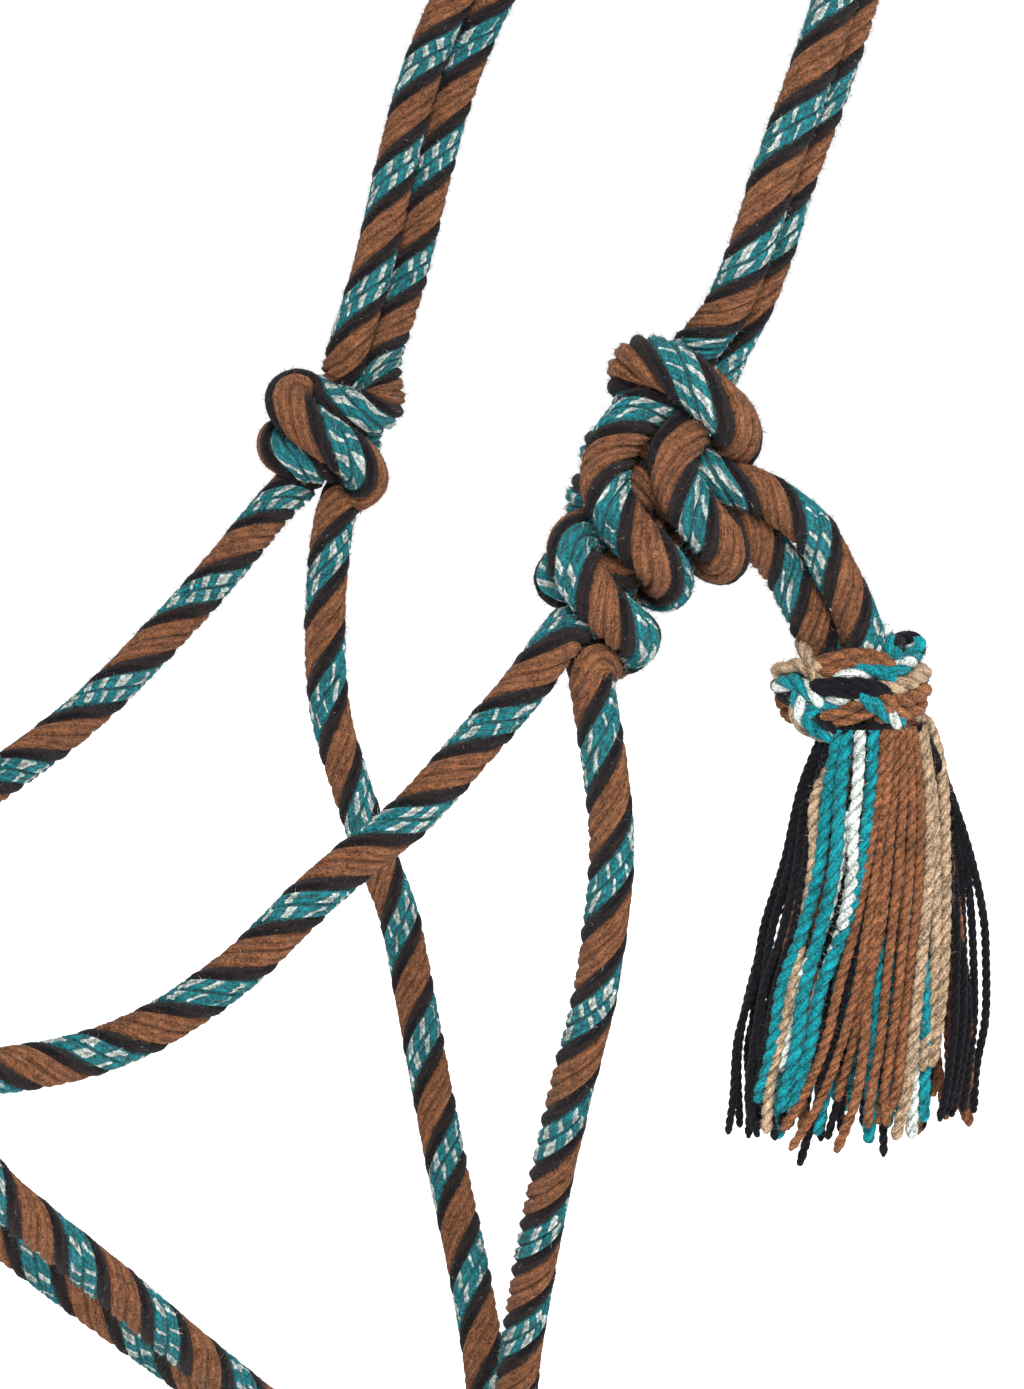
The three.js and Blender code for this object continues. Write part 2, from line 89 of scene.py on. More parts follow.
NEAR_KNOT = (-85, -90, -190)
OFF_KNOT = (-86, 90, -186)
NEAR_NOSE_KNOT = (-288, -67, -328)
OFF_NOSE_KNOT = (-286, 67, -324)
FIADOR = (-77, 0, -488)
FIADOR_RADIUS = 26
COLLAR = (-27.5, -100, -241)
COLLAR_SIZE = (19, 15, 17)  # half across, half high and half deep
SKIRT_TOP = (15, 11)  # the tassel's half length along the head and half depth, at the collar
SKIRT_BOTTOM = (37, 20)  # the same at the tips
SKIRT_LENGTH = 108
SKIRT_LEAN = (6.5, 1.5)  # how far right of the collar its axis is, at the top and at the tips
TAIL_TURN = 30  # degrees between the tail's two ropes and the view's plane
LOOP_HALF_WIDTH = 21
LOOP_LENGTH = 64
LOOP_SPACING = 6.3

# ---- the camera ----
VIEW_AZIMUTH, VIEW_ELEVATION = -28, 8  # degrees
CAMERA_DISTANCE = 1.33
LENS = 135.1
AIM = Vector(NEAR_KNOT) * MM + Vector((-0.0321, 0.0092, -0.0491))

data = bpy.data.cameras.new("camera")
data.lens = LENS
data.clip_start = 0.05
camera = bpy.data.objects.new("camera", data)
bpy.context.scene.collection.objects.link(camera)
tilt = math.pi / 2 - math.radians(VIEW_ELEVATION)
camera.rotation_euler = (tilt, 0, math.radians(VIEW_AZIMUTH))
camera.location = AIM + camera.rotation_euler.to_matrix() @ Vector((0, 0, CAMERA_DISTANCE))
bpy.context.scene.camera = camera

# ---- the ropes' routes, as in the frame ----
CROWN_MIDDLE = [
    (-84, 90, -183), (-76, 91, -169), (-67, 94, -152), (-60, 97, -134), (-54, 99, -115),
    (-45, 100, -88), (-34, 97, -62), (-21, 88, -38), (-10, 72, -16), (-3, 50, -1),
    (0, 25, 5.5), (0, 0, 6), (0, -25, 5.5), (-3, -50, -1), (-9, -72, -16), (-17, -88, -38),
    (-28, -96, -62), (-39, -98.5, -87), (-48, -98, -109), (-51.5, -97, -121), (-56, -95, -135),
    (-61, -92, -147), (-66, -90, -156),
]
CROWN_SIDES = [(0.87, 0.3, -0.5), (1, 0, 0), (0.76, 0.6, -0.3), (0.74, 0.6, -0.3)]
CHEEK_NEAR = [
    (-99, -91, -214), (-110, -93, -224), (-118, -92, -234), (-134, -90, -251), (-150, -88, -267),
    (-164, -86, -277), (-179, -84, -289), (-192, -82, -301), (-205, -80, -310), (-218, -78, -317),
    (-232, -75, -322), (-252, -72, -325), (-270, -69, -326), (-288, -67, -328),
]
CHEEK_OFF = [
    (-90, 91, -195), (-98, 92, -203), (-114, 90, -219), (-127, 88, -231), (-144, 85, -245),
    (-161, 82, -258), (-177, 79, -268), (-196, 76, -278), (-218, 73, -290), (-246, 70, -304),
    (-286, 67, -324),
]
THROAT_NEAR = [
    (-101, -91, -218), (-101, -92, -228), (-99, -92, -242), (-96, -92, -259), (-93, -90, -280),
    (-92, -84, -304), (-91, -76, -324), (-90, -63, -348), (-87, -46, -377), (-83, -28, -409),
    (-80, -14, -441), (-78, -8, -470),
]
THROAT_OFF = [
    (-84, 90, -194), (-84, 90, -206), (-86, 90, -224), (-87, 90, -246), (-86, 89, -267),
    (-81, 87, -287), (-75, 83, -308), (-70, 78, -325), (-69, 71, -344), (-70, 60, -365),
    (-71, 46, -392), (-73, 27, -422), (-75, 14, -447), (-77, 8, -472),
]
CHIN_NEAR = [
    (-84, -7, -484), (-104, -14, -476), (-126, -23, -463), (-152, -33, -444), (-186, -45, -416),
    (-220, -55, -386), (-254, -62, -356), (-286, -67, -331),
]
NOSE_MIDDLE = [
    (-288, -67, -326), (-305, -66, -319), (-328, -58, -310), (-346, -40, -303), (-354, -15, -300),
    (-354, 15, -299), (-346, 40, -300), (-328, 58, -306), (-305, 66, -315), (-286, 67, -322),
]
NOSE_SIDE = (0.34, 0, 0.94)
TAIL_MIDDLE = [
    (-61.5, -94, -190.5), (-53.5, -96, -194), (-47.5, -97.5, -198), (-43.5, -98.5, -203),
    (-40.5, -99.5, -208.5), (-38, -100, -213.5), (-35, -100, -218.5), (-31.5, -100, -226),
    (-29.5, -100, -232), (-27.5, -100, -240.5),
]

# The knots' turns on their faces: right, up and out of the face.
SIDE_FIRST = [
    (1, 11, -5), (2, 3, -9), (9, -2, -9), (14.5, -5, -6), (14, -9.5, -3), (8, -11.5, -1),
    (1, -12, -1), (-5, -12.5, 0), (-11, -11, 2), (-16, -7.5, 1), (-16.5, -2.5, -4), (-11, 0.5, -9),
    (-4, -3, -11), (-4, -10, -8),
]
SIDE_SECOND = [
    (16.5, 9, -6), (18.5, 3.5, -1), (14, 1.5, 4.5), (6, 5, 3), (-2, 10, -4), (-9, 14, -4),
    (-12.8, 12, 3), (-12.3, 7, 8), (-8.6, 2.5, 10.5), (-3.2, -1.5, 11.5), (3.2, -5.5, 10.5),
    (9.5, -8.5, 6.5), (13, -10.5, 0), (10.5, -12.5, -6), (4, -13, -9),
]
# From the cheek into the near side knot and up the tie loop's left leg.
NEAR_FIRST = [
    (-11, -30, -3), (-4.5, -25.5, -8), (-2, -19, -13), (-7, -13.5, -15), (-15, -14, -12),
    (-21.4, -19, -6), (-22.7, -24.7, 0), (-18, -29, 2.5), (-10, -27, 0), (-3, -21, -3),
    (-1, -12, -9), (-3, 0, -12),
]
TIE_LOOP = [
    (-2, 12, -10), (-0.5, 22, -7), (1, 31, -1), (3.5, 35.5, 6), (8, 34, 10), (13, 30, 12.5),
    (18.5, 25, 12), (24, 20, 8), (26, 14.5, 0.5), (22.5, 7.5, -8), (15, -1, -13),
]
# From the tie loop's right leg round the near side knot and down to the throat.
NEAR_SECOND = [
    (6, -9, -15), (-5, -8, -12), (-13, -5.5, -5), (-18.6, -8.5, 2), (-20.4, -14.3, 7),
    (-17.3, -20.4, 9), (-11.5, -26, 9.5), (-5.6, -31.6, 8.5), (-0.8, -36.2, 3), (0, -38.3, -4),
    (-5, -35, -9), (-10, -33, -7),
]
HITCH_FIRST = [
    (8.5, 33, -1), (1.8, 24.6, 2), (-5.8, 17.8, 6), (-10.6, 11, 8), (-11.8, 3.3, 8),
    (-8.6, -3.6, 8), (-3, -10.2, 7), (3.8, -16, 4), (9, -21.5, -2), (9.5, -25, -9),
    (5, -22, -15), (-3, -15, -19), (-10, -6, -18), (-13.5, 1, -12), (-11, 6, -6), (-4, 7.5, -5),
]
HITCH_SECOND = [
    (17, 32, -8), (11, 23, -3), (5.5, 15.3, 4), (4, 8.2, 7.5), (7.4, 1.3, 8.5), (12.8, -4.2, 8),
    (18.5, -8.6, 5), (23.8, -11.5, 0), (25, -14, -7), (20, -13, -16), (10, -6, -22), (-2, 3, -22),
    (-9, 10, -17), (-9.5, 14, -10), (-4, 16, -5),
]
# The tail's two ropes start here, inside the knot.
TAIL_START_OUTER = [(5, 13.5, -4), (13, 9.5, -5)]
TAIL_START_INNER = [(4, 5, -6), (11, 0.5, -7)]


# ---- curves ----
def spline(points, step=STEP):
    """Even samples of a centripetal Catmull-Rom curve, and the sample at each given point."""
    p = np.asarray(points, float)
    p = np.vstack([2 * p[0] - p[1], p, 2 * p[-1] - p[-2]])
    fine = []
    for i in range(1, len(p) - 2):
        a, b, c, d = p[i - 1 : i + 3]
        ta = np.sqrt(np.linalg.norm(b - a))
        tb = ta + np.sqrt(np.linalg.norm(c - b))
        tc = tb + np.sqrt(np.linalg.norm(d - c))
        t = np.linspace(ta, tb, 24, endpoint=False)[:, None]
        ab = (ta - t) / ta * a + t / ta * b
        bc = (tb - t) / (tb - ta) * b + (t - ta) / (tb - ta) * c
        cd = (tc - t) / (tc - tb) * c + (t - tb) / (tc - tb) * d
        abc = (tb - t) / tb * ab + t / tb * bc
        bcd = (tc - t) / (tc - ta) * bc + (t - ta) / (tc - ta) * cd
        fine.append((tb - t) / (tb - ta) * abc + (t - ta) / (tb - ta) * bcd)
    fine = np.vstack([*fine, p[-2:-1]])
    along = lengths(fine)
    even = np.linspace(0, along[-1], max(2, int(round(along[-1] / step))) + 1)
    samples = np.stack([np.interp(even, along, fine[:, k]) for k in range(3)], axis=1)
    knots = np.round(along[::24] / along[-1] * (len(even) - 1)).astype(int)
    return samples, knots


def soften(values, reach):
    """Averages values along a line over reach samples each way; the ends stay where they are."""
    window = np.hanning(2 * reach + 3)[1:-1]
    window /= window.sum()
    before = 2 * values[0] - values[reach:0:-1]
    after = 2 * values[-1] - values[-2 : -reach - 2 : -1]
    padded = np.vstack([before, values, after])
    return np.stack([np.convolve(padded[:, k], window, "valid") for k in range(values.shape[1])], axis=1)


def running(values):
    """Running totals, from 0."""
    return np.concatenate([[0], np.cumsum(values)])


def lengths(points):
    """How far along a line each point is."""
    return running(np.linalg.norm(np.diff(points, axis=0), axis=1))


def unit(v):
    return v / np.linalg.norm(v, axis=-1, keepdims=True)


def frames(points):
    """Tangents, and two directions across the line that turn no more than it does."""
    tangent = unit(np.gradient(points, axis=0))
    across = np.zeros_like(points)
    guess = np.cross(tangent[0], (0.31, 0.52, 0.8))
    for i, t in enumerate(tangent):
        guess = guess - guess @ t * t
        guess /= np.linalg.norm(guess)
        across[i] = guess
    return tangent, across, np.cross(tangent, across)


def directions(points):
    """Which way a route of a few points goes at each of them."""
    return unit(np.vstack([points[1] - points[0], points[2:] - points[:-2], points[-1] - points[-2]]))


def pair(middle, sides):
    """The two lines on either side of a middle one, shifted along a direction that turns along it."""
    p = np.asarray(middle, float)
    t = np.linspace(0, len(sides) - 1, len(p))
    side = np.stack([np.interp(t, range(len(sides)), np.array(sides)[:, k]) for k in range(3)], axis=1)
    along = directions(p)
    side = unit(side - (side * along).sum(1)[:, None] * along)
    return p - side * PAIR, p + side * PAIR


def face_frame(azimuth, elevation, turn=0):
    """Rows: right, up and out of a face that looks back along a view direction."""
    a, e, t = (math.radians(x) for x in (azimuth, elevation, turn))
    out = np.array([math.sin(a) * math.cos(e), -math.cos(a) * math.cos(e), math.sin(e)])
    right = np.array([math.cos(a), math.sin(a), 0])
    up = np.cross(out, right)
    return np.array([right * math.cos(t) + up * math.sin(t), up * math.cos(t) - right * math.sin(t), out])


VIEW_FACE = face_frame(VIEW_AZIMUTH, VIEW_ELEVATION)
VIEW_RIGHT, _, VIEW_OUT = face_frame(VIEW_AZIMUTH, 0)
NOSE_FACE = face_frame(-20, 0, 95)
TOWARDS_VIEW = VIEW_FACE[2]


def on_face(turns, face, origin):
    return np.asarray(turns, float) @ face + origin


# ---- meshes ----
class Build:
    """Rings and fibres gathered into one mesh, with a UV map of lay turns along and strands around."""

    def __init__(self):
        self.points, self.faces, self.uvs, self.count = [], [], [], 0

    def add(self, points, faces, uvs):
        """faces: one array of vertex numbers per face size; uvs: one pair per corner, in the same order."""
        self.points.append(points)
        for corner_ids, corner_uvs in zip(faces, uvs):
            self.faces.append(corner_ids + self.count)
            self.uvs.append(corner_uvs)
        self.count += len(points)

    def mesh(self, name):
        points = np.vstack(self.points) * MM
        sizes = np.concatenate([np.full(len(f), f.shape[1]) for f in self.faces])
        corners = np.concatenate([f.ravel() for f in self.faces])
        uvs = np.concatenate([u.reshape(-1, 2) for u in self.uvs])
        data = bpy.data.meshes.new(name)
        data.vertices.add(len(points))
        data.vertices.foreach_set("co", points.ravel())
        data.loops.add(len(corners))
        data.loops.foreach_set("vertex_index", corners)
        data.polygons.add(len(sizes))
        data.polygons.foreach_set("loop_start", running(sizes)[:-1])
        data.polygons.foreach_set("loop_total", sizes)
        data.polygons.foreach_set("use_smooth", np.ones(len(sizes), bool))
        data.uv_layers.new(name="lay").data.foreach_set("uv", uvs.ravel())
        data.update()
        data.validate()
        return data


def strand_columns(shares, columns, valley, ridges, ridge_depth):
    """Around a section: each column's angle, its strand number plus place, and its share of the radius."""
    starts = running(shares) / sum(shares) * 2 * math.pi
    place = np.arange(columns) / columns
    angle, strand, reach = [], [], []
    for k, count in enumerate(ridges):
        angle.append(starts[k] + place * (starts[k + 1] - starts[k]))
        strand.append(k + place)
        between = 0.5 + 0.5 * np.cos(place * count * 2 * math.pi)
        reach.append(1 - valley * np.abs(2 * place - 1) ** 2.6 - ridge_depth * between)
    return np.concatenate(angle), np.concatenate(strand), np.concatenate(reach)


ROPE_COLUMNS = strand_columns(STRAND_SHARES, 12, VALLEY, RIDGES, RIDGE_DEPTH)
YARN_COLUMNS = strand_columns([1, 1], 6, 0.36, [1, 1], 0)
COLLAR_COLUMNS = strand_columns([1, 1, 1], 5, 0.22, [1, 1, 1], 0)
ROPE_ANGLES = running(STRAND_SHARES) / 6 * 2 * math.pi


def sweep(build, line, turn, radius, columns=ROPE_COLUMNS, pitch=PITCH, hairs=ROPE_HAIRS, axes=None):
    """A laid rope along a line: turn is the lay's angle at each sample and radius its size there.

    axes gives the directions across, for a line that is a part of a longer one.
    """
    angle, strand, ripple = columns
    count, sides = len(line), len(angle)
    across, over = axes or frames(line)[1:]
    theta = turn[:, None] + angle
    lumps = rng.normal(size=(count, sides))
    lumps = lumps + np.roll(lumps, 1, axis=1) + np.roll(lumps, 1, axis=0) + np.roll(lumps, 2, axis=0)
    reach = np.broadcast_to(radius, (count,))[:, None] * ripple * (1 + LUMPS * lumps)
    normal = np.cos(theta)[..., None] * across[:, None] + np.sin(theta)[..., None] * over[:, None]
    surface = line[:, None] + reach[..., None] * normal
    ring = np.arange(sides)
    following = (ring + 1) % sides
    base = np.arange(count - 1)[:, None] * sides
    quads = np.stack([base + ring, base + following, base + sides + following, base + sides + ring], -1)
    u = lengths(line) / pitch
    v = strand
    v_next = np.append(strand[1:], np.ceil(strand[-1]))
    low = np.broadcast_to(u[:-1, None], (count - 1, sides))
    high = np.broadcast_to(u[1:, None], (count - 1, sides))
    here, there = np.broadcast_to(v, low.shape), np.broadcast_to(v_next, low.shape)
    quad_uvs = np.stack([low, here, low, there, high, there, high, here], -1)
    centres = count * sides + np.array([0, 1])
    last = (count - 1) * sides
    start_cap = np.stack([np.full(sides, centres[0]), following, ring], -1)
    end_cap = np.stack([np.full(sides, centres[1]), last + ring, last + following], -1)
    cap_uvs = lambda value: np.stack([np.full(sides, value), v] * 3, -1)
    build.add(
        np.vstack([surface.reshape(-1, 3), line[:1], line[-1:]]),
        [quads.reshape(-1, 4), start_cap, end_cap],
        [quad_uvs.reshape(-1, 8), cap_uvs(u[0]), cap_uvs(u[-1])],
    )
    if hairs:
        area = lengths(line)[-1] * 2 * math.pi * float(np.mean(radius))
        add_hairs(build, surface, normal, u, v, int(area * hairs))


def add_hairs(build, surface, normal, u, v, number):
    """Short loose fibres on a surface, three-sided and bent once; most are coloured as their root."""
    count, sides = surface.shape[:2]
    i = rng.integers(0, count, number)
    j = rng.integers(0, sides, number)
    out = normal[i, j]
    lean = unit(rng.normal(size=(number, 3)))
    lean = unit(lean - (lean * out).sum(1)[:, None] * out)
    length = np.minimum(rng.gamma(3.0, 0.4, number), HAIR_LENGTH[1])[:, None] + HAIR_LENGTH[0]
    thick = rng.uniform(*HAIR_RADIUS, number)[:, None]
    root = surface[i, j] - HAIR_SUNK * out
    first = unit(out + lean * rng.uniform(0.3, 1.6, number)[:, None])
    second = unit(first + 0.9 * unit(rng.normal(size=(number, 3))) + 0.25 * lean)
    middle = root + first * length * 0.55
    tip = middle + second * length * 0.45
    side = unit(np.cross(first, out + 0.1))
    other = np.cross(first, side)
    spokes = [math.cos(a) * side + math.sin(a) * other for a in np.radians((90, 210, 330))]
    ring = lambda centre, size: [centre + size * thick * spoke for spoke in spokes]
    points = np.stack([*ring(root, 1.0), *ring(middle, 0.8), tip], axis=1)
    base = np.arange(number)[:, None] * 7
    quads = np.concatenate([base + [k, (k + 1) % 3, 3 + (k + 1) % 3, 3 + k] for k in range(3)])
    tips = np.concatenate([base + [3 + k, 3 + (k + 1) % 3, 6] for k in range(3)])
    roots = base + [2, 1, 0]
    stray = rng.random(number) < STRAY_HAIRS
    uv = np.stack([u[i], np.where(stray, v[rng.integers(0, sides, number)], v[j])], -1)
    build.add(
        points.reshape(-1, 3),
        [quads, np.concatenate([tips, roots])],
        [np.tile(np.tile(uv, 4), (3, 1)), np.tile(np.tile(uv, 3), (4, 1))],
    )


def object_from(build, name, body, material, nodes=()):
    piece = bpy.data.objects.new(name, build.mesh(name))
    bpy.context.scene.collection.objects.link(piece)
    piece.data.materials.append(material)
    if body:
        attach(piece, body)
    if nodes:
        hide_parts(*nodes)
    return piece


# ---- materials ----
class Nodes:
    """A small helper that adds shader nodes and links their inputs."""

    def __init__(self, name):
        self.material = bpy.data.materials.new(name)
        self.material.use_nodes = True
        self.tree = self.material.node_tree
        self.tree.nodes.clear()

    def add(self, kind, inputs=None, **settings):
        node = self.tree.nodes.new(kind)
        for key, value in settings.items():
            setattr(node, key, value)
        for key, value in (inputs or {}).items():
            if isinstance(value, bpy.types.NodeSocket):
                self.tree.links.new(value, node.inputs[key])
            else:
                node.inputs[key].default_value = value
        return node

    def math(self, operation, a, b=0.0, c=0.0):
        return self.add("ShaderNodeMath", {0: a, 1: b, 2: c}, operation=operation).outputs[0]

    def times(self, a, b):
        return self.math("MULTIPLY", a, b)

    def scaled(self, value, factor, offset):
        """value times factor, plus offset."""
        return self.math("MULTIPLY_ADD", value, factor, offset)

    def mix(self, factor, a, b, blend="MIX"):
        inputs = {"Factor": factor, 6: a, 7: b}  # the colours by number, as they share their names
        return self.add("ShaderNodeMix", inputs, data_type="RGBA", blend_type=blend).outputs[2]

    def steps(self, factor, stops):
        """A colour for each span of factor, each from its stop to the next."""
        node = self.add("ShaderNodeValToRGB", {"Fac": factor})
        node.color_ramp.interpolation = "CONSTANT"
        for at, colour in stops[2:]:
            node.color_ramp.elements.new(at)
        for element, (at, colour) in zip(node.color_ramp.elements, sorted(stops)):
            element.position = at
            element.color = colour
        return node.outputs[0]

    def noise(self, vector, scale, detail=2.0, roughness=0.5):
        inputs = {"Vector": vector, "Scale": scale, "Detail": detail, "Roughness": roughness}
        return self.add("ShaderNodeTexNoise", inputs).outputs["Fac"]


def linear(r, g, b):
    """A scene-linear colour from 8-bit screen values."""
    c = np.array([r, g, b]) / 255
    return (*np.where(c <= 0.04045, c / 12.92, ((c + 0.055) / 1.055) ** 2.4), 1.0)


COLOURS = {
    "brown": linear(119, 76, 49),
    "black": linear(10, 11, 18),
    "teal": linear(10, 115, 123),
    "ivory": linear(190, 197, 190),
    "cream": linear(158, 134, 108),
}
# Scene-linear shades of the wool where little light gets in.
GROOVE_SHADE = (0.012, 0.010, 0.010, 1.0)
TEAL_SHADE = (0.012, 0.02, 0.022, 1.0)
RIDGE_SHADE = (0.035, 0.016, 0.010, 1.0)
YARN_SHADE = (0.014, 0.010, 0.010, 1.0)
DASH_SPACING = 0.74  # between the ivory dashes, in yarns
DASH_EDGE = 0.74  # how far across a strand they reach


def wool_shader(nodes, colour, height, strength):
    """Matt wool: a colour, a soft sheen, and bump from a height."""
    bump = nodes.add("ShaderNodeBump", {"Strength": strength, "Distance": 0.5 * MM, "Height": height})
    shader = nodes.add("ShaderNodeBsdfPrincipled", {
        "Base Color": colour, "Roughness": 0.92, "Specular IOR Level": 0.1, "Sheen Weight": 0.06,
        "Sheen Roughness": 0.5, "Sheen Tint": (1.0, 0.95, 0.9, 1.0), "Normal": bump.outputs[0],
    })
    nodes.add("ShaderNodeOutputMaterial", {"Surface": shader.outputs[0]})
    return nodes.material


def tone_and_fibre_shading(nodes, fibre, fine, patchy):
    """A factor around one that darkens and lightens wool: random patches of tone, plus painted highlight and
    shade, as the fibre and grain noises that raise the bump also lighten the raised fibres and darken the
    hollows between them.
    """
    tone = nodes.scaled(fibre, 3.0, -1.5)
    tone = nodes.math("ADD", tone, nodes.scaled(fine, 3.4, -1.7))
    tone = nodes.math("ADD", tone, nodes.scaled(patchy, 1.6, 0.25))
    return nodes.math("MINIMUM", nodes.math("MAXIMUM", tone, 0.35), 2.0)


def lay_places(nodes):
    """Turns along, strands around, place across a strand, nearness to its edge, and position."""
    uv = nodes.add("ShaderNodeUVMap", uv_map="lay").outputs[0]
    turns, strands = nodes.add("ShaderNodeSeparateXYZ", {0: uv}).outputs[:2]
    across = nodes.math("FRACT", strands)
    ridge = nodes.math("ABSOLUTE", nodes.scaled(across, 2.0, -1.0))
    return turns, strands, across, ridge, nodes.add("ShaderNodeTexCoord").outputs["Object"]


def laid_rope_material():
    nodes = Nodes("laid_rope")
    turns, strands, across, ridge, position = lay_places(nodes)
    fine = nodes.noise(position, 1500, 2.0, 0.65)
    patchy = nodes.noise(position, 240, 3.0, 0.6)
    # Fibres wander a little over the strands' edges.
    wander = nodes.scaled(nodes.noise(position, 900, 2.0), 0.34, -0.17)
    strand = nodes.math("ADD", strands, wander)
    strand = nodes.math("PINGPONG", nodes.math("MAXIMUM", strand, 0.0), 6.0)
    # Yarns in a strand run along the rope: this counts them.
    yarn = nodes.scaled(turns, 6.0, strands)
    stops = [(0.0, "brown"), (2 / 6, "black"), (3 / 6, "teal"), (5 / 6, "black")]
    colour = nodes.steps(nodes.math("DIVIDE", strand, 6.0), [(at, COLOURS[name]) for at, name in stops])
    # Fibres: long and thin, along the strands.
    fibre_place = nodes.add("ShaderNodeCombineXYZ", {
        0: nodes.times(turns, PITCH / FIBRE_LENGTH), 1: nodes.times(strands, FIBRES_PER_STRAND),
    }).outputs[0]
    fibre = nodes.noise(fibre_place, 1.0, 3.0, 0.6)
    # Ivory yarns show as uneven dashes in the teal strands.
    shift = nodes.times(nodes.math("FLOOR", strands), 0.43)
    loose = nodes.scaled(nodes.noise(position, 70, 0.0), 1.2, -0.6)
    ragged = nodes.scaled(wander, 0.25, loose)
    count = nodes.math("DIVIDE", nodes.math("ADD", nodes.math("ADD", yarn, shift), ragged), DASH_SPACING)
    dash = nodes.math("FRACT", count)
    width = nodes.scaled(nodes.noise(position, 110, 0.0), 0.9, -0.13)
    inside = nodes.math("LESS_THAN", nodes.math("ADD", ridge, wander), DASH_EDGE)
    after_black = nodes.math("GREATER_THAN", strand, 3.0)
    is_teal = nodes.times(after_black, nodes.math("LESS_THAN", strand, 5.0))
    in_dash = nodes.times(nodes.math("LESS_THAN", dash, width), inside)
    ivory = nodes.times(in_dash, is_teal)
    colour = nodes.mix(nodes.times(ivory, 0.93), colour, COLOURS["ivory"])
    # Painted shade: darker in the grooves and between the teal strands' yarns, where little light gets in.
    yarn_wave = nodes.math("SINE", nodes.times(count, 2 * math.pi * 3))
    groove_shade_depth = nodes.scaled(is_teal, 0.2, 0.12)
    groove = nodes.times(nodes.math("POWER", ridge, 5.0), groove_shade_depth)
    colour = nodes.mix(groove, colour, GROOVE_SHADE)
    teal_gap_shade = nodes.scaled(yarn_wave, -0.5, 0.5)
    between = nodes.times(teal_gap_shade, nodes.times(is_teal, 0.35))
    colour = nodes.mix(between, colour, TEAL_SHADE)
    # Painted shade between the soft ridges of yarn along each strand.
    ridge_gap_shade = nodes.math("COSINE", nodes.times(nodes.math("ADD", across, wander), 4 * math.pi))
    ridge_gap_shade = nodes.scaled(ridge_gap_shade, 0.2, 0.2)
    colour = nodes.mix(ridge_gap_shade, colour, RIDGE_SHADE)
    # Uneven tone, with painted highlight on raised fibres and painted shade between them.
    colour = nodes.mix(1.0, colour, tone_and_fibre_shading(nodes, fibre, fine, patchy), "MULTIPLY")
    height = nodes.math("ADD", nodes.times(fibre, 1.6), nodes.times(fine, 0.9))
    return wool_shader(nodes, colour, height, 1.0)


def yarn_material(name, plies):
    """Twisted wool yarn, with a colour for each ply."""
    nodes = Nodes(name)
    turns, strands, across, ridge, position = lay_places(nodes)
    fine = nodes.noise(position, 1700, 2.0, 0.6)
    patchy = nodes.noise(position, 210, 2.0, 0.6)
    if len(plies) > 1:
        number = float(len(plies))
        share = nodes.math("DIVIDE", nodes.math("MODULO", strands, number), number)
        stops = [(k / number, COLOURS[ply]) for k, ply in enumerate(plies)]
        colour = nodes.steps(share, stops)
    else:
        colour = COLOURS[plies[0]]
    # Fibres lie at a slant over each ply.
    slant = nodes.add("ShaderNodeCombineXYZ", {
        0: nodes.times(turns, 1.5),
        1: nodes.scaled(across, 9.0, nodes.times(turns, 9.0)),
    }).outputs[0]
    fibre = nodes.noise(slant, 1.0, 2.0, 0.5)
    # Painted shade in the groove between the plies, where little light gets in.
    groove = nodes.times(nodes.math("POWER", ridge, 3.0), 0.55)
    colour = nodes.mix(groove, colour, YARN_SHADE)
    # Uneven tone, with painted highlight on raised fibres and painted shade between them.
    colour = nodes.mix(1.0, colour, tone_and_fibre_shading(nodes, fibre, fine, patchy), "MULTIPLY")
    height = nodes.math("ADD", nodes.times(fibre, 0.7), fine)
    return wool_shader(nodes, colour, height, 0.7)


ROPE_WOOL = laid_rope_material()

# ---- lines of rope ----
PRESSED = 0.84  # how near two turns in a knot may lie, as a share of the rope
SETTLE_EDGE = 12  # over this distance the moves fade out
DEEPEST_PUSH = 4
LONGEST_MOVE = 1.2
PUSH, SMOOTHING, HOMING = 0.12, 0.45, 0.02  # how much of each goes into a move


def turn_facing(line, index, strand):
    """The lay's angle that turns a strand to the viewer at a sample."""
    _, across, over = line["frames"]
    facing = math.atan2(TOWARDS_VIEW @ over[index], TOWARDS_VIEW @ across[index])
    return facing - np.interp(strand % 6, range(7), ROPE_ANGLES)


def make_line(sections):
    """One continuous rope: each section is a piece's name, its points and its facing strands."""
    names, routes, facing = zip(*sections)
    counts = [len(route) for route in routes]
    samples, knots = spline(np.vstack(routes))
    samples = soften(samples, 4)
    firsts = [sum(counts[:k]) for k in range(1, len(counts))]
    starts = [0] + [int((knots[first - 1] + knots[first]) // 2) for first in firsts]
    ends = starts[1:] + [len(samples) - 1]
    return {"names": names, "spans": list(zip(starts, ends)), "points": samples, "facing": facing}


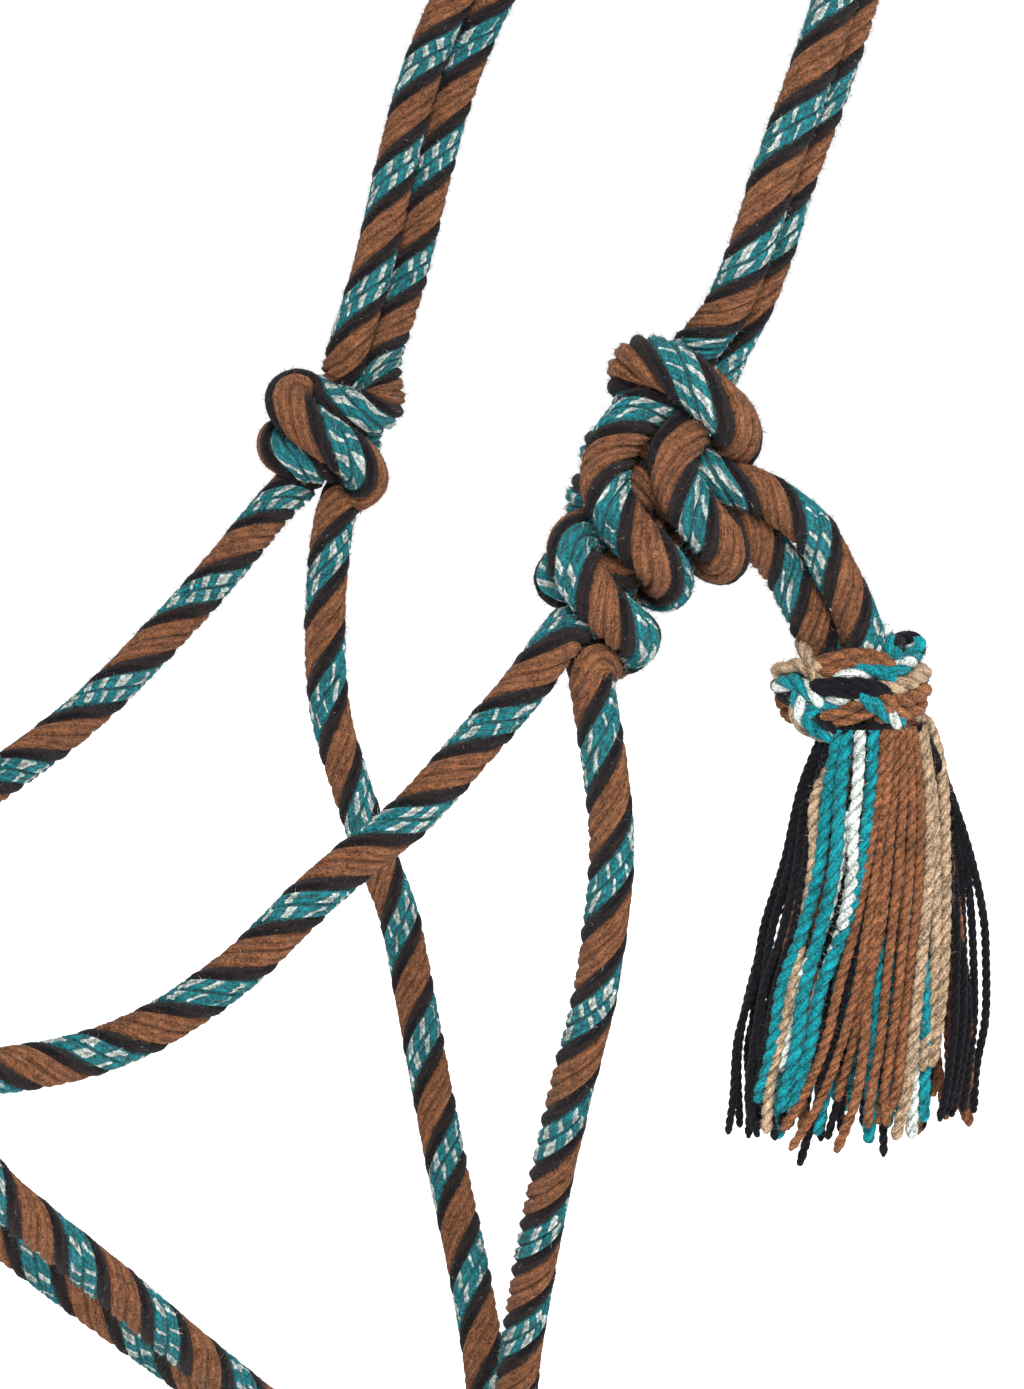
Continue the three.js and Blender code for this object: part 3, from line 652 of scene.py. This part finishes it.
def settle(lines, centres, reach=48, rounds=160, stride=3):
    """Pushes turns apart where they lie too close, near the knots, and smooths them."""
    clear = KNOT_ROPE * PRESSED
    for centre in centres:
        parts = []
        for line in lines:
            near = np.flatnonzero(np.linalg.norm(line["points"] - centre, axis=1) < reach)
            for run in np.split(near, np.flatnonzero(np.diff(near) > 1) + 1):
                if len(run) > 4 * stride:
                    parts.append((line, run[::stride]))
        home = np.vstack([line["points"][run] for line, run in parts])
        owner = np.concatenate([np.full(len(run), k) for k, (_, run) in enumerate(parts)])
        order = np.concatenate([run for _, run in parts]) * STEP
        spread = np.linalg.norm(home - centre, axis=1)
        free = np.clip((reach - spread) / SETTLE_EDGE, 0, 1)[:, None]
        same = owner[:, None] == owner
        ignore = same & (np.abs(order[:, None] - order) < 1.5 * clear)
        inner = np.flatnonzero((owner[1:-1] == owner[:-2]) & (owner[1:-1] == owner[2:])) + 1
        moved = home.copy()
        for _ in range(rounds):
            gap = moved[:, None] - moved
            distance = np.linalg.norm(gap, axis=-1) + 1e-6
            push = np.where(ignore, 0, np.clip(clear - distance, 0, DEEPEST_PUSH))
            force = (gap / distance[..., None] * push[..., None]).sum(1) * PUSH
            size = np.linalg.norm(force, axis=1, keepdims=True) + 1e-9
            force *= np.minimum(1, LONGEST_MOVE / size)
            relax = np.zeros_like(moved)
            relax[inner] = (moved[inner - 1] + moved[inner + 1]) / 2 - moved[inner]
            moved += free * (force + SMOOTHING * relax + HOMING * (home - moved))
        for k, (line, run) in enumerate(parts):
            shift = (moved - home)[owner == k]
            everywhere = np.arange(run[0], run[-1] + 1)
            line["points"][everywhere] += np.stack(
                [np.interp(everywhere, run, shift[:, axis]) for axis in range(3)], axis=1
            )
    for line in lines:
        line["points"] = soften(line["points"], 3)


def lay(line):
    """The lay's angle along a line: even turns, eased between the places where facing names a strand."""
    line["frames"] = frames(line["points"])
    along = lengths(line["points"])
    facing = []
    for (start, end), marks in zip(line["spans"], line["facing"]):
        for distance, strand in marks:
            facing.append((start + int(np.searchsorted(along[start:end], along[start] + distance)), strand))
    if not facing:
        facing = [(len(along) // 2, BROWN)]
    natural = 2 * math.pi * along / PITCH
    at, wanted = [], []
    for index, strand in facing:
        extra = turn_facing(line, index, strand) - natural[index]
        if wanted:
            extra += 2 * math.pi * round((wanted[-1] - extra) / (2 * math.pi))
        at.append(index)
        wanted.append(extra)
    line["turn"] = natural + np.interp(np.arange(len(along)), at, wanted)


crown_front, crown_rear = pair(CROWN_MIDDLE, CROWN_SIDES)
nose_lower, nose_upper = pair(NOSE_MIDDLE, [NOSE_SIDE, NOSE_SIDE])


def tail_pair():
    """The tail's outer and inner rope, side by side and a little out of the view's plane."""
    p = np.asarray(TAIL_MIDDLE, float)
    along = directions(p)
    side = unit(np.cross(TOWARDS_VIEW, along))
    turn = math.radians(TAIL_TURN)
    side = side * math.cos(turn) + unit(np.cross(along, side)) * math.sin(turn)
    return p + side * PAIR, p - side * PAIR


def mirrored(points):
    """The off nose knot is the near one seen in a mirror, moved to its own place."""
    p = np.array(points, float) * (1, -1, 1)
    return p + np.array(OFF_NOSE_KNOT) - np.array(NEAR_NOSE_KNOT) * (1, -1, 1)


near_nose_first = on_face(SIDE_FIRST, NOSE_FACE, NEAR_NOSE_KNOT)
near_nose_second = on_face(SIDE_SECOND, NOSE_FACE, NEAR_NOSE_KNOT)
on_near = lambda turns: on_face(turns, VIEW_FACE, NEAR_KNOT)
on_off = lambda turns: on_face(turns, VIEW_FACE, OFF_KNOT)
tail_outer, tail_inner = (
    np.vstack([on_near(start), line])
    for start, line in zip((TAIL_START_OUTER, TAIL_START_INNER), tail_pair())
)
chin_off = np.array(CHIN_NEAR) * (1, -1, 1)

# Along each section, in millimetres from its start: the strand that faces the view there.
LINE_A = [
    ("tail_rope_inner", tail_inner[::-1], [(18, BROWN), (33, TEAL), (46, BROWN)]),
    ("tie_hitch", on_near(HITCH_FIRST)[::-1], [(83, BROWN), (98, TEAL), (111, BROWN), (124, TEAL)]),
    ("crown_front_rope", crown_front[1:-1][::-1], [
        (12, BROWN), (26, TEAL), (44, BROWN), (450, BROWN), (469, TEAL), (487, BROWN),
    ]),
    ("off_side_knot", on_off(SIDE_FIRST), [(26, TEAL), (45, TEAL)]),
    ("cheek_off", CHEEK_OFF[1:-1], [(10, TEAL), (25, BROWN), (65, BROWN), (108, BROWN)]),
    ("nose_knot_off", mirrored(near_nose_second)[::-1], []),
    ("nose_band_upper", nose_upper[1:-1][::-1], []),
    ("nose_knot_near", near_nose_second, []),
    ("cheek_near", CHEEK_NEAR[1:-1][::-1], [(at, BROWN) for at in (23, 54, 87, 120, 153, 187)]),
    ("near_side_knot", on_near(NEAR_FIRST), []),
    ("tie_loop", on_near(TIE_LOOP), [(53, TEAL)]),
    ("near_side_knot", on_near(NEAR_SECOND), [(47, TEAL), (59, BROWN)]),
    ("throat_near", THROAT_NEAR[1:], [(6, BROWN), (79, BROWN), (119, BROWN), (161, BROWN)]),
]
LINE_B = [
    ("tail_rope_outer", tail_outer[::-1], [(26, BROWN), (43, TEAL), (60, BROWN), (75, TEAL)]),
    ("tie_hitch", on_near(HITCH_SECOND)[::-1], [(78, BROWN), (92, TEAL), (104, BROWN)]),
    ("crown_rear_rope", crown_rear[1:-1][::-1], [
        (16, BROWN), (31, TEAL), (438, BROWN), (455, TEAL), (472, BROWN),
    ]),
    ("off_side_knot", on_off(SIDE_SECOND), [(15, TEAL), (47, BROWN), (65, TEAL)]),
    ("throat_off", THROAT_OFF[1:], [(1, BROWN), (37, BROWN), (75, BROWN)]),
]
LINE_C = [
    ("chin_near", CHIN_NEAR[:-1], []),
    ("nose_knot_near", near_nose_first[::-1], []),
    ("nose_band_lower", nose_lower[1:-1], []),
    ("nose_knot_off", mirrored(near_nose_first), []),
    ("chin_off", chin_off[:-1][::-1], []),
]
KNOTS = {"tie_hitch", "tie_loop", "near_side_knot", "off_side_knot", "nose_knot_near", "nose_knot_off"}

lines = [make_line(LINE_A), make_line(LINE_B), make_line(LINE_C)]
tie_centre = on_near([(0, 5, 0)])[0]
settle(lines, [OFF_KNOT, tie_centre, NEAR_NOSE_KNOT, OFF_NOSE_KNOT])
for line in lines:
    lay(line)


def thickness(line):
    """The rope's radius along a line: a little more inside the knots."""
    knotted = np.zeros(len(line["points"]))
    for name, (start, end) in zip(line["names"], line["spans"]):
        knotted[start : end + 1] = name in KNOTS
    eased = soften(knotted[:, None], 12)[:, 0]
    return (ROPE + (KNOT_ROPE - ROPE) * np.clip(eased, 0, 1)) / 2


builds = {}
for line in lines:
    radius = thickness(line)
    for name, (start, end) in zip(line["names"], line["spans"]):
        build = builds.setdefault(name, Build())
        part = slice(start, end + 1)
        _, across, over = line["frames"]
        sweep(build, line["points"][part], line["turn"][part], radius[part], axes=(across[part], over[part]))


def rope_piece(build, name, body, nodes=()):
    return object_from(build, name + "_laid", body, ROPE_WOOL, nodes)


for name, build in builds.items():
    if name.startswith("tail_rope"):
        piece = rope_piece(build, name, None)
        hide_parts(name, name.replace("rope", "root"))
        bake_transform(piece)
    else:
        rope_piece(build, name, "halter", [name])


# ---- the fiador knot and the lead loops ----
def plain_turn(line, pitch=PITCH):
    """An even lay along a line."""
    return 2 * math.pi * lengths(line) / pitch


def woven_ball():
    """One rope woven round a ball: three times round it while it crosses the belt eight times."""
    passes, waves = 3, 4
    belt, rise, weave = FIADOR_RADIUS - ROPE * 0.72, FIADOR_RADIUS * 0.5, ROPE * 0.3
    t = np.linspace(0, 2 * math.pi, 1200)
    reach = belt * np.cos(0.62 * np.cos(waves * t)) + weave * np.sin(2 * waves * t)
    around = passes * t
    ball = np.stack([reach * np.cos(around), reach * np.sin(around), rise * np.cos(waves * t)], axis=1)
    return spline(ball[::12])[0] + FIADOR


def lead_loop(side):
    """One of the two loops side by side under the fiador knot."""
    half = [(0.38, 0.3), (0.76, -0.2), (1, -0.45), (0.86, -0.76), (0.36, -0.99)]
    outline = half + [(-y, z) for y, z in half[::-1]]
    top = FIADOR[2] - FIADOR_RADIUS
    return spline([
        (FIADOR[0] + side * LOOP_SPACING, y * LOOP_HALF_WIDTH, top + z * LOOP_LENGTH) for y, z in outline
    ])[0]


for name, body, line, thick in (
    ("fiador_knot", "halter", woven_ball(), KNOT_ROPE),
    ("lead_loop_front", "lead_loop", lead_loop(-1), ROPE),
    ("lead_loop_rear", "lead_loop", lead_loop(1), ROPE),
):
    build = Build()
    sweep(build, line, plain_turn(line), thick / 2)
    rope_piece(build, name, body, [name])

# ---- the collar: strands wound round the two ropes, listed by their places on its face ----
COLLAR_BACK_TOP = 10  # the strands above this show at the front only
COLLAR_PITCH = 15
CORE_PITCH = 12
CORE_RADIUS = 2.4

# Colour, thickness, lift off the face, and points right of and above the collar's middle.
COLLAR_STRANDS = [
    ("brown", 4.4, -1.5, [(-9, 7.5), (-3, 9.3), (3, 9.8), (8, 8.2)]),
    ("brown", 4.2, -0.6, [(-8, 5), (-2, 7.2), (5, 8), (10, 7)]),
    ("cream", 4.2, -0.4, [(-17, 5), (-14, 7), (-10.5, 5.5), (-8, 2.5)]),
    ("cream", 3.6, -0.8, [(-13, 12), (-11.5, 9), (-9, 6)]),
    ("teal_ivory", 4.4, 0.2, [(-4, 4), (1, 6), (6, 6), (10, 3.5)]),
    ("teal_ivory", 4.6, -0.2, [(8.5, 15), (9.3, 11.5), (11.5, 8)]),
    ("black", 4.2, 0.0, [(10.5, 11), (13, 13), (16.5, 12.5), (17.5, 10)]),
    ("teal_ivory", 4.8, 0.5, [(9, 5), (13, 7.2), (16.5, 9.5), (17.3, 12)]),
    ("brown", 4.8, -0.5, [(7, -7), (12, -8.2), (16, -7)]),
    ("brown", 4.8, 0.1, [(7, -3), (12.5, -4.8), (17.5, -3.8)]),
    ("brown", 4.8, 0.5, [(6.5, 0.6), (12.5, -1.2), (18.5, 0.2)]),
    ("cream", 4.8, 0.9, [(7, 1.8), (12.5, 2.6), (18.5, 4.4)]),
    ("black", 3.4, -0.3, [(-14, -2), (-17.5, -1.6), (-18.5, 0.5)]),
    ("teal_ivory", 4.6, 0.8, [(-18.5, 1.2), (-15.5, 2.8), (-11.5, 1.0), (-9, -1)]),
    ("teal_ivory", 4.4, -0.3, [(-11, -4.5), (-8, -2.2), (-3, -0.8)]),
    ("brown", 3.6, -0.2, [(-8.5, -5.5), (-3.3, -3.8), (2.5, -0.8)]),
    ("brown", 3.4, -0.6, [(-6.5, -7.5), (-1, -6), (4, -4)]),
    ("cream", 3.4, 0.1, [(-15.3, -3), (-13.5, -8.6), (-8, -11.2), (-2, -11.4)]),
    ("teal_ivory", 4.8, 0.8, [(-14, -0.5), (-13, -5.5), (-9.5, -9), (-4, -11)]),
    ("teal_ivory", 3.8, -0.2, [(-7.5, -12.5), (-1.5, -12.3), (4, -10.5)]),
    ("black", 3.9, 0.3, [(-8.5, -5.5), (-4.5, -8.6), (2, -9.4), (9, -7.6)]),
    ("teal_ivory", 4.6, 0.9, [(1.8, 0.2), (6, -2.8), (11.5, -7.2)]),
    ("black", 3.2, 0.9, [(-10, 1.8), (-3.5, 1.2), (3, 1.0), (9, 2.6)]),
    ("black", 3.4, 1.3, [(-10, 2.8), (-3.5, 3.6), (3, 3.2), (8.5, 1.4)]),
]


def collar_face(points, lift, thickness, turn):
    """Points on the collar's egg shape, from places right and up on one of its faces; the ends sink in."""
    face = face_frame(VIEW_AZIMUTH + turn, 0)
    wide, high, deep = COLLAR_SIZE
    p = []
    for right, up in points:
        bulge = max(0.0, 1 - (right / wide) ** 2 - (up / high) ** 2)
        out = math.sqrt(bulge) * (deep - thickness * 0.5) + lift
        p.append((right, up, out))
    first, last = np.array(p[0]), np.array(p[-1])
    sunk = (0, 0, 3)
    p = [first * 0.8 - sunk, *p, last * 0.8 - sunk]
    return on_face(p, face, COLLAR)


def collar_core():
    """Yarn wound round the ropes under the strands that show."""
    wide, high, deep = (size - 4.5 for size in COLLAR_SIZE)
    t = np.linspace(-0.9, 0.9, 160)
    around = t * 8 * math.pi
    girth = np.sqrt(1 - t**2)
    coil = np.stack([wide * girth * np.cos(around), high * t, deep * girth * np.sin(around)], axis=1)
    return on_face(coil, face_frame(VIEW_AZIMUTH, 0), COLLAR)


collar_builds = {}
for turn in (0, 180):
    for colour, thick, lift, points in COLLAR_STRANDS:
        if turn and max(up for _, up in points) > COLLAR_BACK_TOP:
            continue
        strand_line, _ = spline(collar_face(points, lift, thick, turn), 0.5)
        build = collar_builds.setdefault(colour, Build())
        angle = rng.uniform(0, 2 * math.pi) + plain_turn(strand_line, COLLAR_PITCH)
        sweep(build, strand_line, angle, thick / 2, COLLAR_COLUMNS, COLLAR_PITCH)
core_line, _ = spline(collar_core())
core_turn = plain_turn(core_line, CORE_PITCH)
sweep(collar_builds["black"], core_line, core_turn, CORE_RADIUS, COLLAR_COLUMNS, CORE_PITCH, hairs=0)

YARN_THICKNESS = {"brown": 2.8, "black": 2.5, "teal": 3.7, "cream": 3.3, "ivory": 3.4}
YARN_WOOL = {colour: yarn_material(colour + "_yarn", [colour]) for colour in YARN_THICKNESS}
YARN_WOOL["teal_ivory"] = yarn_material("teal_ivory_yarn", ["teal", "teal", "ivory"])


def yarn_piece(build, name, body, colour, nodes=()):
    return object_from(build, name, body, YARN_WOOL[colour], nodes)


on_tail = [yarn_piece(build, "collar_" + colour, "tail", colour) for colour, build in collar_builds.items()]
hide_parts("tail_collar")

# ---- the tassel: yarns hung from the collar, with the front ones listed by their places in the view ----
FALL = (-9, -25, -44, -60, -75, -90, -105)  # heights that most of them pass


def fall(*rights):
    """The places at the usual heights, from how far right each of them is."""
    return list(zip(rights, FALL))


# Colour, lift off the skirt, and points right of and above the collar's middle.
FRONT_YARNS = [
    ("black", 0, fall(-7, -13, -17.5, -22.5, -25.5, -29.5, -30.7) + [(-32, -115)]),
    ("black", 0.4, fall(-6, -11.5, -14.5, -18, -23, -25.5, -27) + [(-24.5, -114)]),
    ("black", -0.8, fall(-5, -9.5, -12.5, -15.5, -20, -22.5, -25.5) + [(-27, -112)]),
    ("black", -1.2, fall(-6, -12.5, -16, -20.5, -23, -24, -22) + [(-20, -115)]),
    ("cream", 0.4, [(-4, -16), (-9.6, -27), (-10.2, -42), (-13, -60), (-17, -80), (-21.5, -100),
                    (-22.5, -113)]),
    ("teal", 0.6, [(-3.5, -9), (-6, -22), (-9, -44), (-13, -60), (-18.4, -75), (-20.8, -90),
                   (-24.7, -105)]),
    ("teal", 0.8, fall(-1.5, -3.5, -5, -8.5, -12.7, -14.8) + [(-19, -107)]),
    ("teal", 0, [(5, -9), (4.4, -25), (2.8, -38), (0.6, -50), (-3.2, -62), (-8.4, -75), (-11.5, -90),
                 (-16.3, -106)]),
    ("ivory", 1.2, [(1.6, -9), (0.8, -25), (-0.3, -35), (-0.2, -46), (-1.5, -54), (-3.5, -60)]),
    ("ivory", -1.4, [(-0.2, -46), (-3, -60), (-9.2, -77), (-11.8, -92), (-15.6, -109)]),
    ("ivory", -1.0, [(-2, -30), (-5, -50), (-10, -65), (-15.5, -77), (-17.2, -88), (-19, -97)]),
    ("brown", 0.5, fall(8, 6.8, 3.4, 0.3, -3.9, -7.5, -14) + [(-18.4, -112)]),
    ("brown", 0.8, fall(9.7, 8.6, 6, 3.4, 0.8, -3.2, -9) + [(-16.4, -117)]),
    ("brown", 0.2, fall(11, 10.6, 8.8, 7.2, 4, 2.9, 0.5) + [(-4.4, -118)]),
    ("brown", 1.0, fall(12.5, 13, 11.8, 10.2, 8.6, 7, 4.5) + [(4, -112)]),
    ("brown", 0.8, fall(14, 15.2, 15, 13.4, 12, 10.2, 8.3) + [(9.2, -112)]),
    ("brown", 0.2, fall(15.5, 17.4, 17.6, 16.4, 14.6, 13, 11) + [(8, -110)]),
    ("brown", -1.4, fall(8, 9.5, 7.4, 5.4, 2.6, 0, -4)),
    ("cream", 0.8, fall(18, 20.1, 20.3, 19, 17.5, 15.9, 14) + [(11.3, -116)]),
    ("cream", 0.9, [(16, -6), (21, -11), (24, -22), (24.9, -44), (24.9, -60), (24.3, -75), (22.6, -90),
                    (21, -98)]),
    ("cream", -0.6, [(18, -9), (21.4, -30), (22.2, -60), (21.4, -80), (18.5, -99)]),
    ("ivory", -2.5, [(15, -50), (16.5, -90), (16, -117)]),
    ("teal", -2.0, [(17, -50), (19.4, -85), (19.3, -113)]),
    ("black", 0, fall(17, 24, 27.3, 28.3, 28, 27.4, 25.5) + [(23.5, -113)]),
    ("black", -0.4, fall(18, 25, 29, 30.3, 30.5, 30, 27.5) + [(25.5, -112)]),
    ("black", 0.3, [(18, -9), (25.5, -27), (30.6, -44), (32.6, -60), (33.6, -75), (34, -90),
                    (31.5, -105), (30, -112)]),
    ("black", -0.5, [(18, -9), (26, -27), (31.8, -44), (36, -62), (37, -75), (37, -90), (35, -103),
                     (33.8, -114)]),
    ("black", -1.0, fall(17, 23, 26.2, 27, 31, 32, 29) + [(27, -113)]),
    ("black", -3.0, [(5, -30), (1, -60), (-5, -90), (-13.7, -122)]),
    ("black", -3.0, [(8, -30), (5, -60), (0, -90), (-6.5, -115)]),
    ("black", -3.0, [(10, -30), (9, -60), (8, -90), (8.6, -121)]),
    ("teal", -3.6, [(2, -40), (-3, -80), (-9.3, -114)]),
    ("teal", -3.6, [(8, -40), (6, -80), (4.5, -117)]),
    ("brown", -2.4, [(12, -30), (13, -60), (11, -90), (7, -112)]),
    ("brown", -2.0, [(-8, -30), (-14, -50), (-17.5, -68), (-21, -85), (-22, -108)]),
]

# Round the back, then inside: how many yarns, their first angle and the angle they fill (degrees from the
# head's front towards its near side), how far out they hang, and their loose fibres.
OTHER_YARNS = [(34, -150, 178, 0.93, YARN_HAIRS), (18, -152, 360, 0.58, 0)]
BACK_BUNDLES = [(-152, "black"), (-92, "teal"), (-37, "brown")]  # the angle where each one starts
INNER_COLOURS = ("brown", "black", "black", "brown", "black", "teal")
YARN_TOP = -9
YARN_ENDS = (112, 120)  # how far under the collar's middle
WOBBLE = (0, 1.0, 1.6, 2.2, 2.4, 2.6)  # degrees, from a yarn's top to its end


def skirt_size(up):
    """The tassel's half length and half depth at a height, and how far its axis is right of the collar's."""
    down = np.clip((-up - COLLAR_SIZE[1]) / SKIRT_LENGTH, 0, 1)
    flare = math.sin(down * math.pi / 2)
    along, deep = (top + (bottom - top) * flare for top, bottom in zip(SKIRT_TOP, SKIRT_BOTTOM))
    return along, deep, SKIRT_LEAN[0] + (SKIRT_LEAN[1] - SKIRT_LEAN[0]) * flare


def skirt_front(right, up, lift):
    """The place on the tassel's near side that the view shows at right and up."""
    along, deep, lean = skirt_size(up)
    a, b = VIEW_RIGHT[0] * along, -VIEW_RIGHT[1] * deep
    width = math.hypot(a, b)
    around = math.atan2(b, a) + math.acos(np.clip((right - lean) / width, -1, 1))
    out = VIEW_OUT[0] * along * math.cos(around) - VIEW_OUT[1] * deep * math.sin(around)
    return COLLAR + VIEW_RIGHT * right + VIEW_OUT * (out + lift) + (0, 0, up)


def skirt_place(degrees, up, share):
    """The place on the tassel at an angle from the head's front towards its near side."""
    along, deep, lean = skirt_size(up)
    t = math.radians(degrees)
    offset = (share * along * math.cos(t), -share * deep * math.sin(t), up)
    return COLLAR + VIEW_RIGHT * lean + offset


tassel_builds = {}


def add_yarn(colour, points, hairs=YARN_HAIRS):
    thick = YARN_THICKNESS[colour] * rng.uniform(0.92, 1.06)
    line, _ = spline(points, 0.55)
    radius = np.full(len(line), thick / 2)
    radius[-4:] *= (0.97, 0.88, 0.7, 0.4)  # a rounded end
    pitch = YARN_TWIST * thick
    twist = rng.uniform(0, 2 * math.pi) + plain_turn(line, pitch)
    sweep(tassel_builds.setdefault(colour, Build()), line, twist, radius, YARN_COLUMNS, pitch, hairs)


for colour, lift, points in FRONT_YARNS:
    add_yarn(colour, [skirt_front(right, up, lift + rng.normal() * 0.5) for right, up in points])

for number, first, span, share, hairs in OTHER_YARNS:
    for k in range(number):
        degrees = first + (k + 0.5) / number * span
        colour = INNER_COLOURS[k % len(INNER_COLOURS)]
        if hairs:
            colour = [name for start, name in BACK_BUNDLES if start <= degrees][-1]
        end = -rng.uniform(*YARN_ENDS)
        wobble = rng.normal(size=6) * WOBBLE
        heights = np.linspace(YARN_TOP, end, 6)
        shares = share + rng.normal(size=6) * 0.03
        shares[0] *= 0.75
        places = zip(degrees + wobble, heights, shares)
        add_yarn(colour, [skirt_place(*place) for place in places], hairs)

TASSEL_NODES = {
    "brown": ["tassel_brown", "tassel_brown_inner"],
    "black": ["tassel_black_front", "tassel_black_rear", "tassel_black_inner"],
    "teal": ["tassel_teal", "tassel_teal_inner"],
    "cream": ["tassel_cream"],
}
for colour, build in tassel_builds.items():
    nodes = TASSEL_NODES.get(colour, [])
    on_tail.append(yarn_piece(build, "tassel_" + colour + "_yarns", "tassel", colour, nodes))

# ---- the tail's two ropes: the first span of each line is read, and nothing more is done with it ----
for name, line in zip(("tail_rope_inner", "tail_rope_outer"), lines):
    start, end = line["spans"][0]


# ---- studio ----
LAMPS = [  # name, place, width and watts
    ("key", (-0.9, -1.7, 1.1), 0.9, 66),
    ("fill", (1.5, -1.2, 0.5), 1.4, 12),
    ("back", (0.4, 1.9, 0.6), 1.4, 26),
]
ROOM_LIGHT = 0.55
FLOOR_GLOW = 0.52
FLOOR_REACH = 400  # metres: its edge is out of sight
FLOOR_GAP = 0.004  # below the lead loop

scene = bpy.context.scene
scene.view_settings.view_transform = "Standard"
world = bpy.data.worlds.new("studio")
scene.world = world
world.use_nodes = True
nodes, links = world.node_tree.nodes, world.node_tree.links
paper = nodes["Background"]
paper.inputs["Color"].default_value = (1, 1, 1, 1)
soft = nodes.new("ShaderNodeBackground")
soft.inputs["Color"].default_value = (0.97, 0.985, 1, 1)
soft.inputs["Strength"].default_value = ROOM_LIGHT
path = nodes.new("ShaderNodeLightPath")
choose = nodes.new("ShaderNodeMixShader")
links.new(path.outputs["Is Camera Ray"], choose.inputs[0])
links.new(soft.outputs[0], choose.inputs[1])
links.new(paper.outputs[0], choose.inputs[2])
links.new(choose.outputs[0], nodes["World Output"].inputs["Surface"])
centre = (Vector(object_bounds()[0]) + Vector(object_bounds()[1])) / 2
for name, place, size, power in LAMPS:
    data = bpy.data.lights.new(name, "AREA")
    data.shape = "DISK"
    data.size = size
    data.energy = power
    lamp = bpy.data.objects.new(name, data)
    scene.collection.objects.link(lamp)
    lamp.location = place
    lamp.rotation_euler = (Vector(place) - centre).to_track_quat("Z", "Y").to_euler()
floor_data = bpy.data.meshes.new("floor")
level = cad_box[0][2] - FLOOR_GAP
corners = [(x * FLOOR_REACH, y * FLOOR_REACH, level) for x, y in ((-1, -1), (1, -1), (1, 1), (-1, 1))]
floor_data.from_pydata(corners, [], [(0, 1, 2, 3)])
floor = bpy.data.objects.new("floor", floor_data)
scene.collection.objects.link(floor)
paint = Nodes("floor")
shader = paint.add("ShaderNodeBsdfPrincipled", {
    "Base Color": (0.92, 0.92, 0.92, 1), "Roughness": 0.9,
    "Emission Color": (1, 1, 1, 1), "Emission Strength": FLOOR_GLOW,
})
paint.add("ShaderNodeOutputMaterial", {"Surface": shader.outputs[0]})
floor_data.materials.append(paint.material)
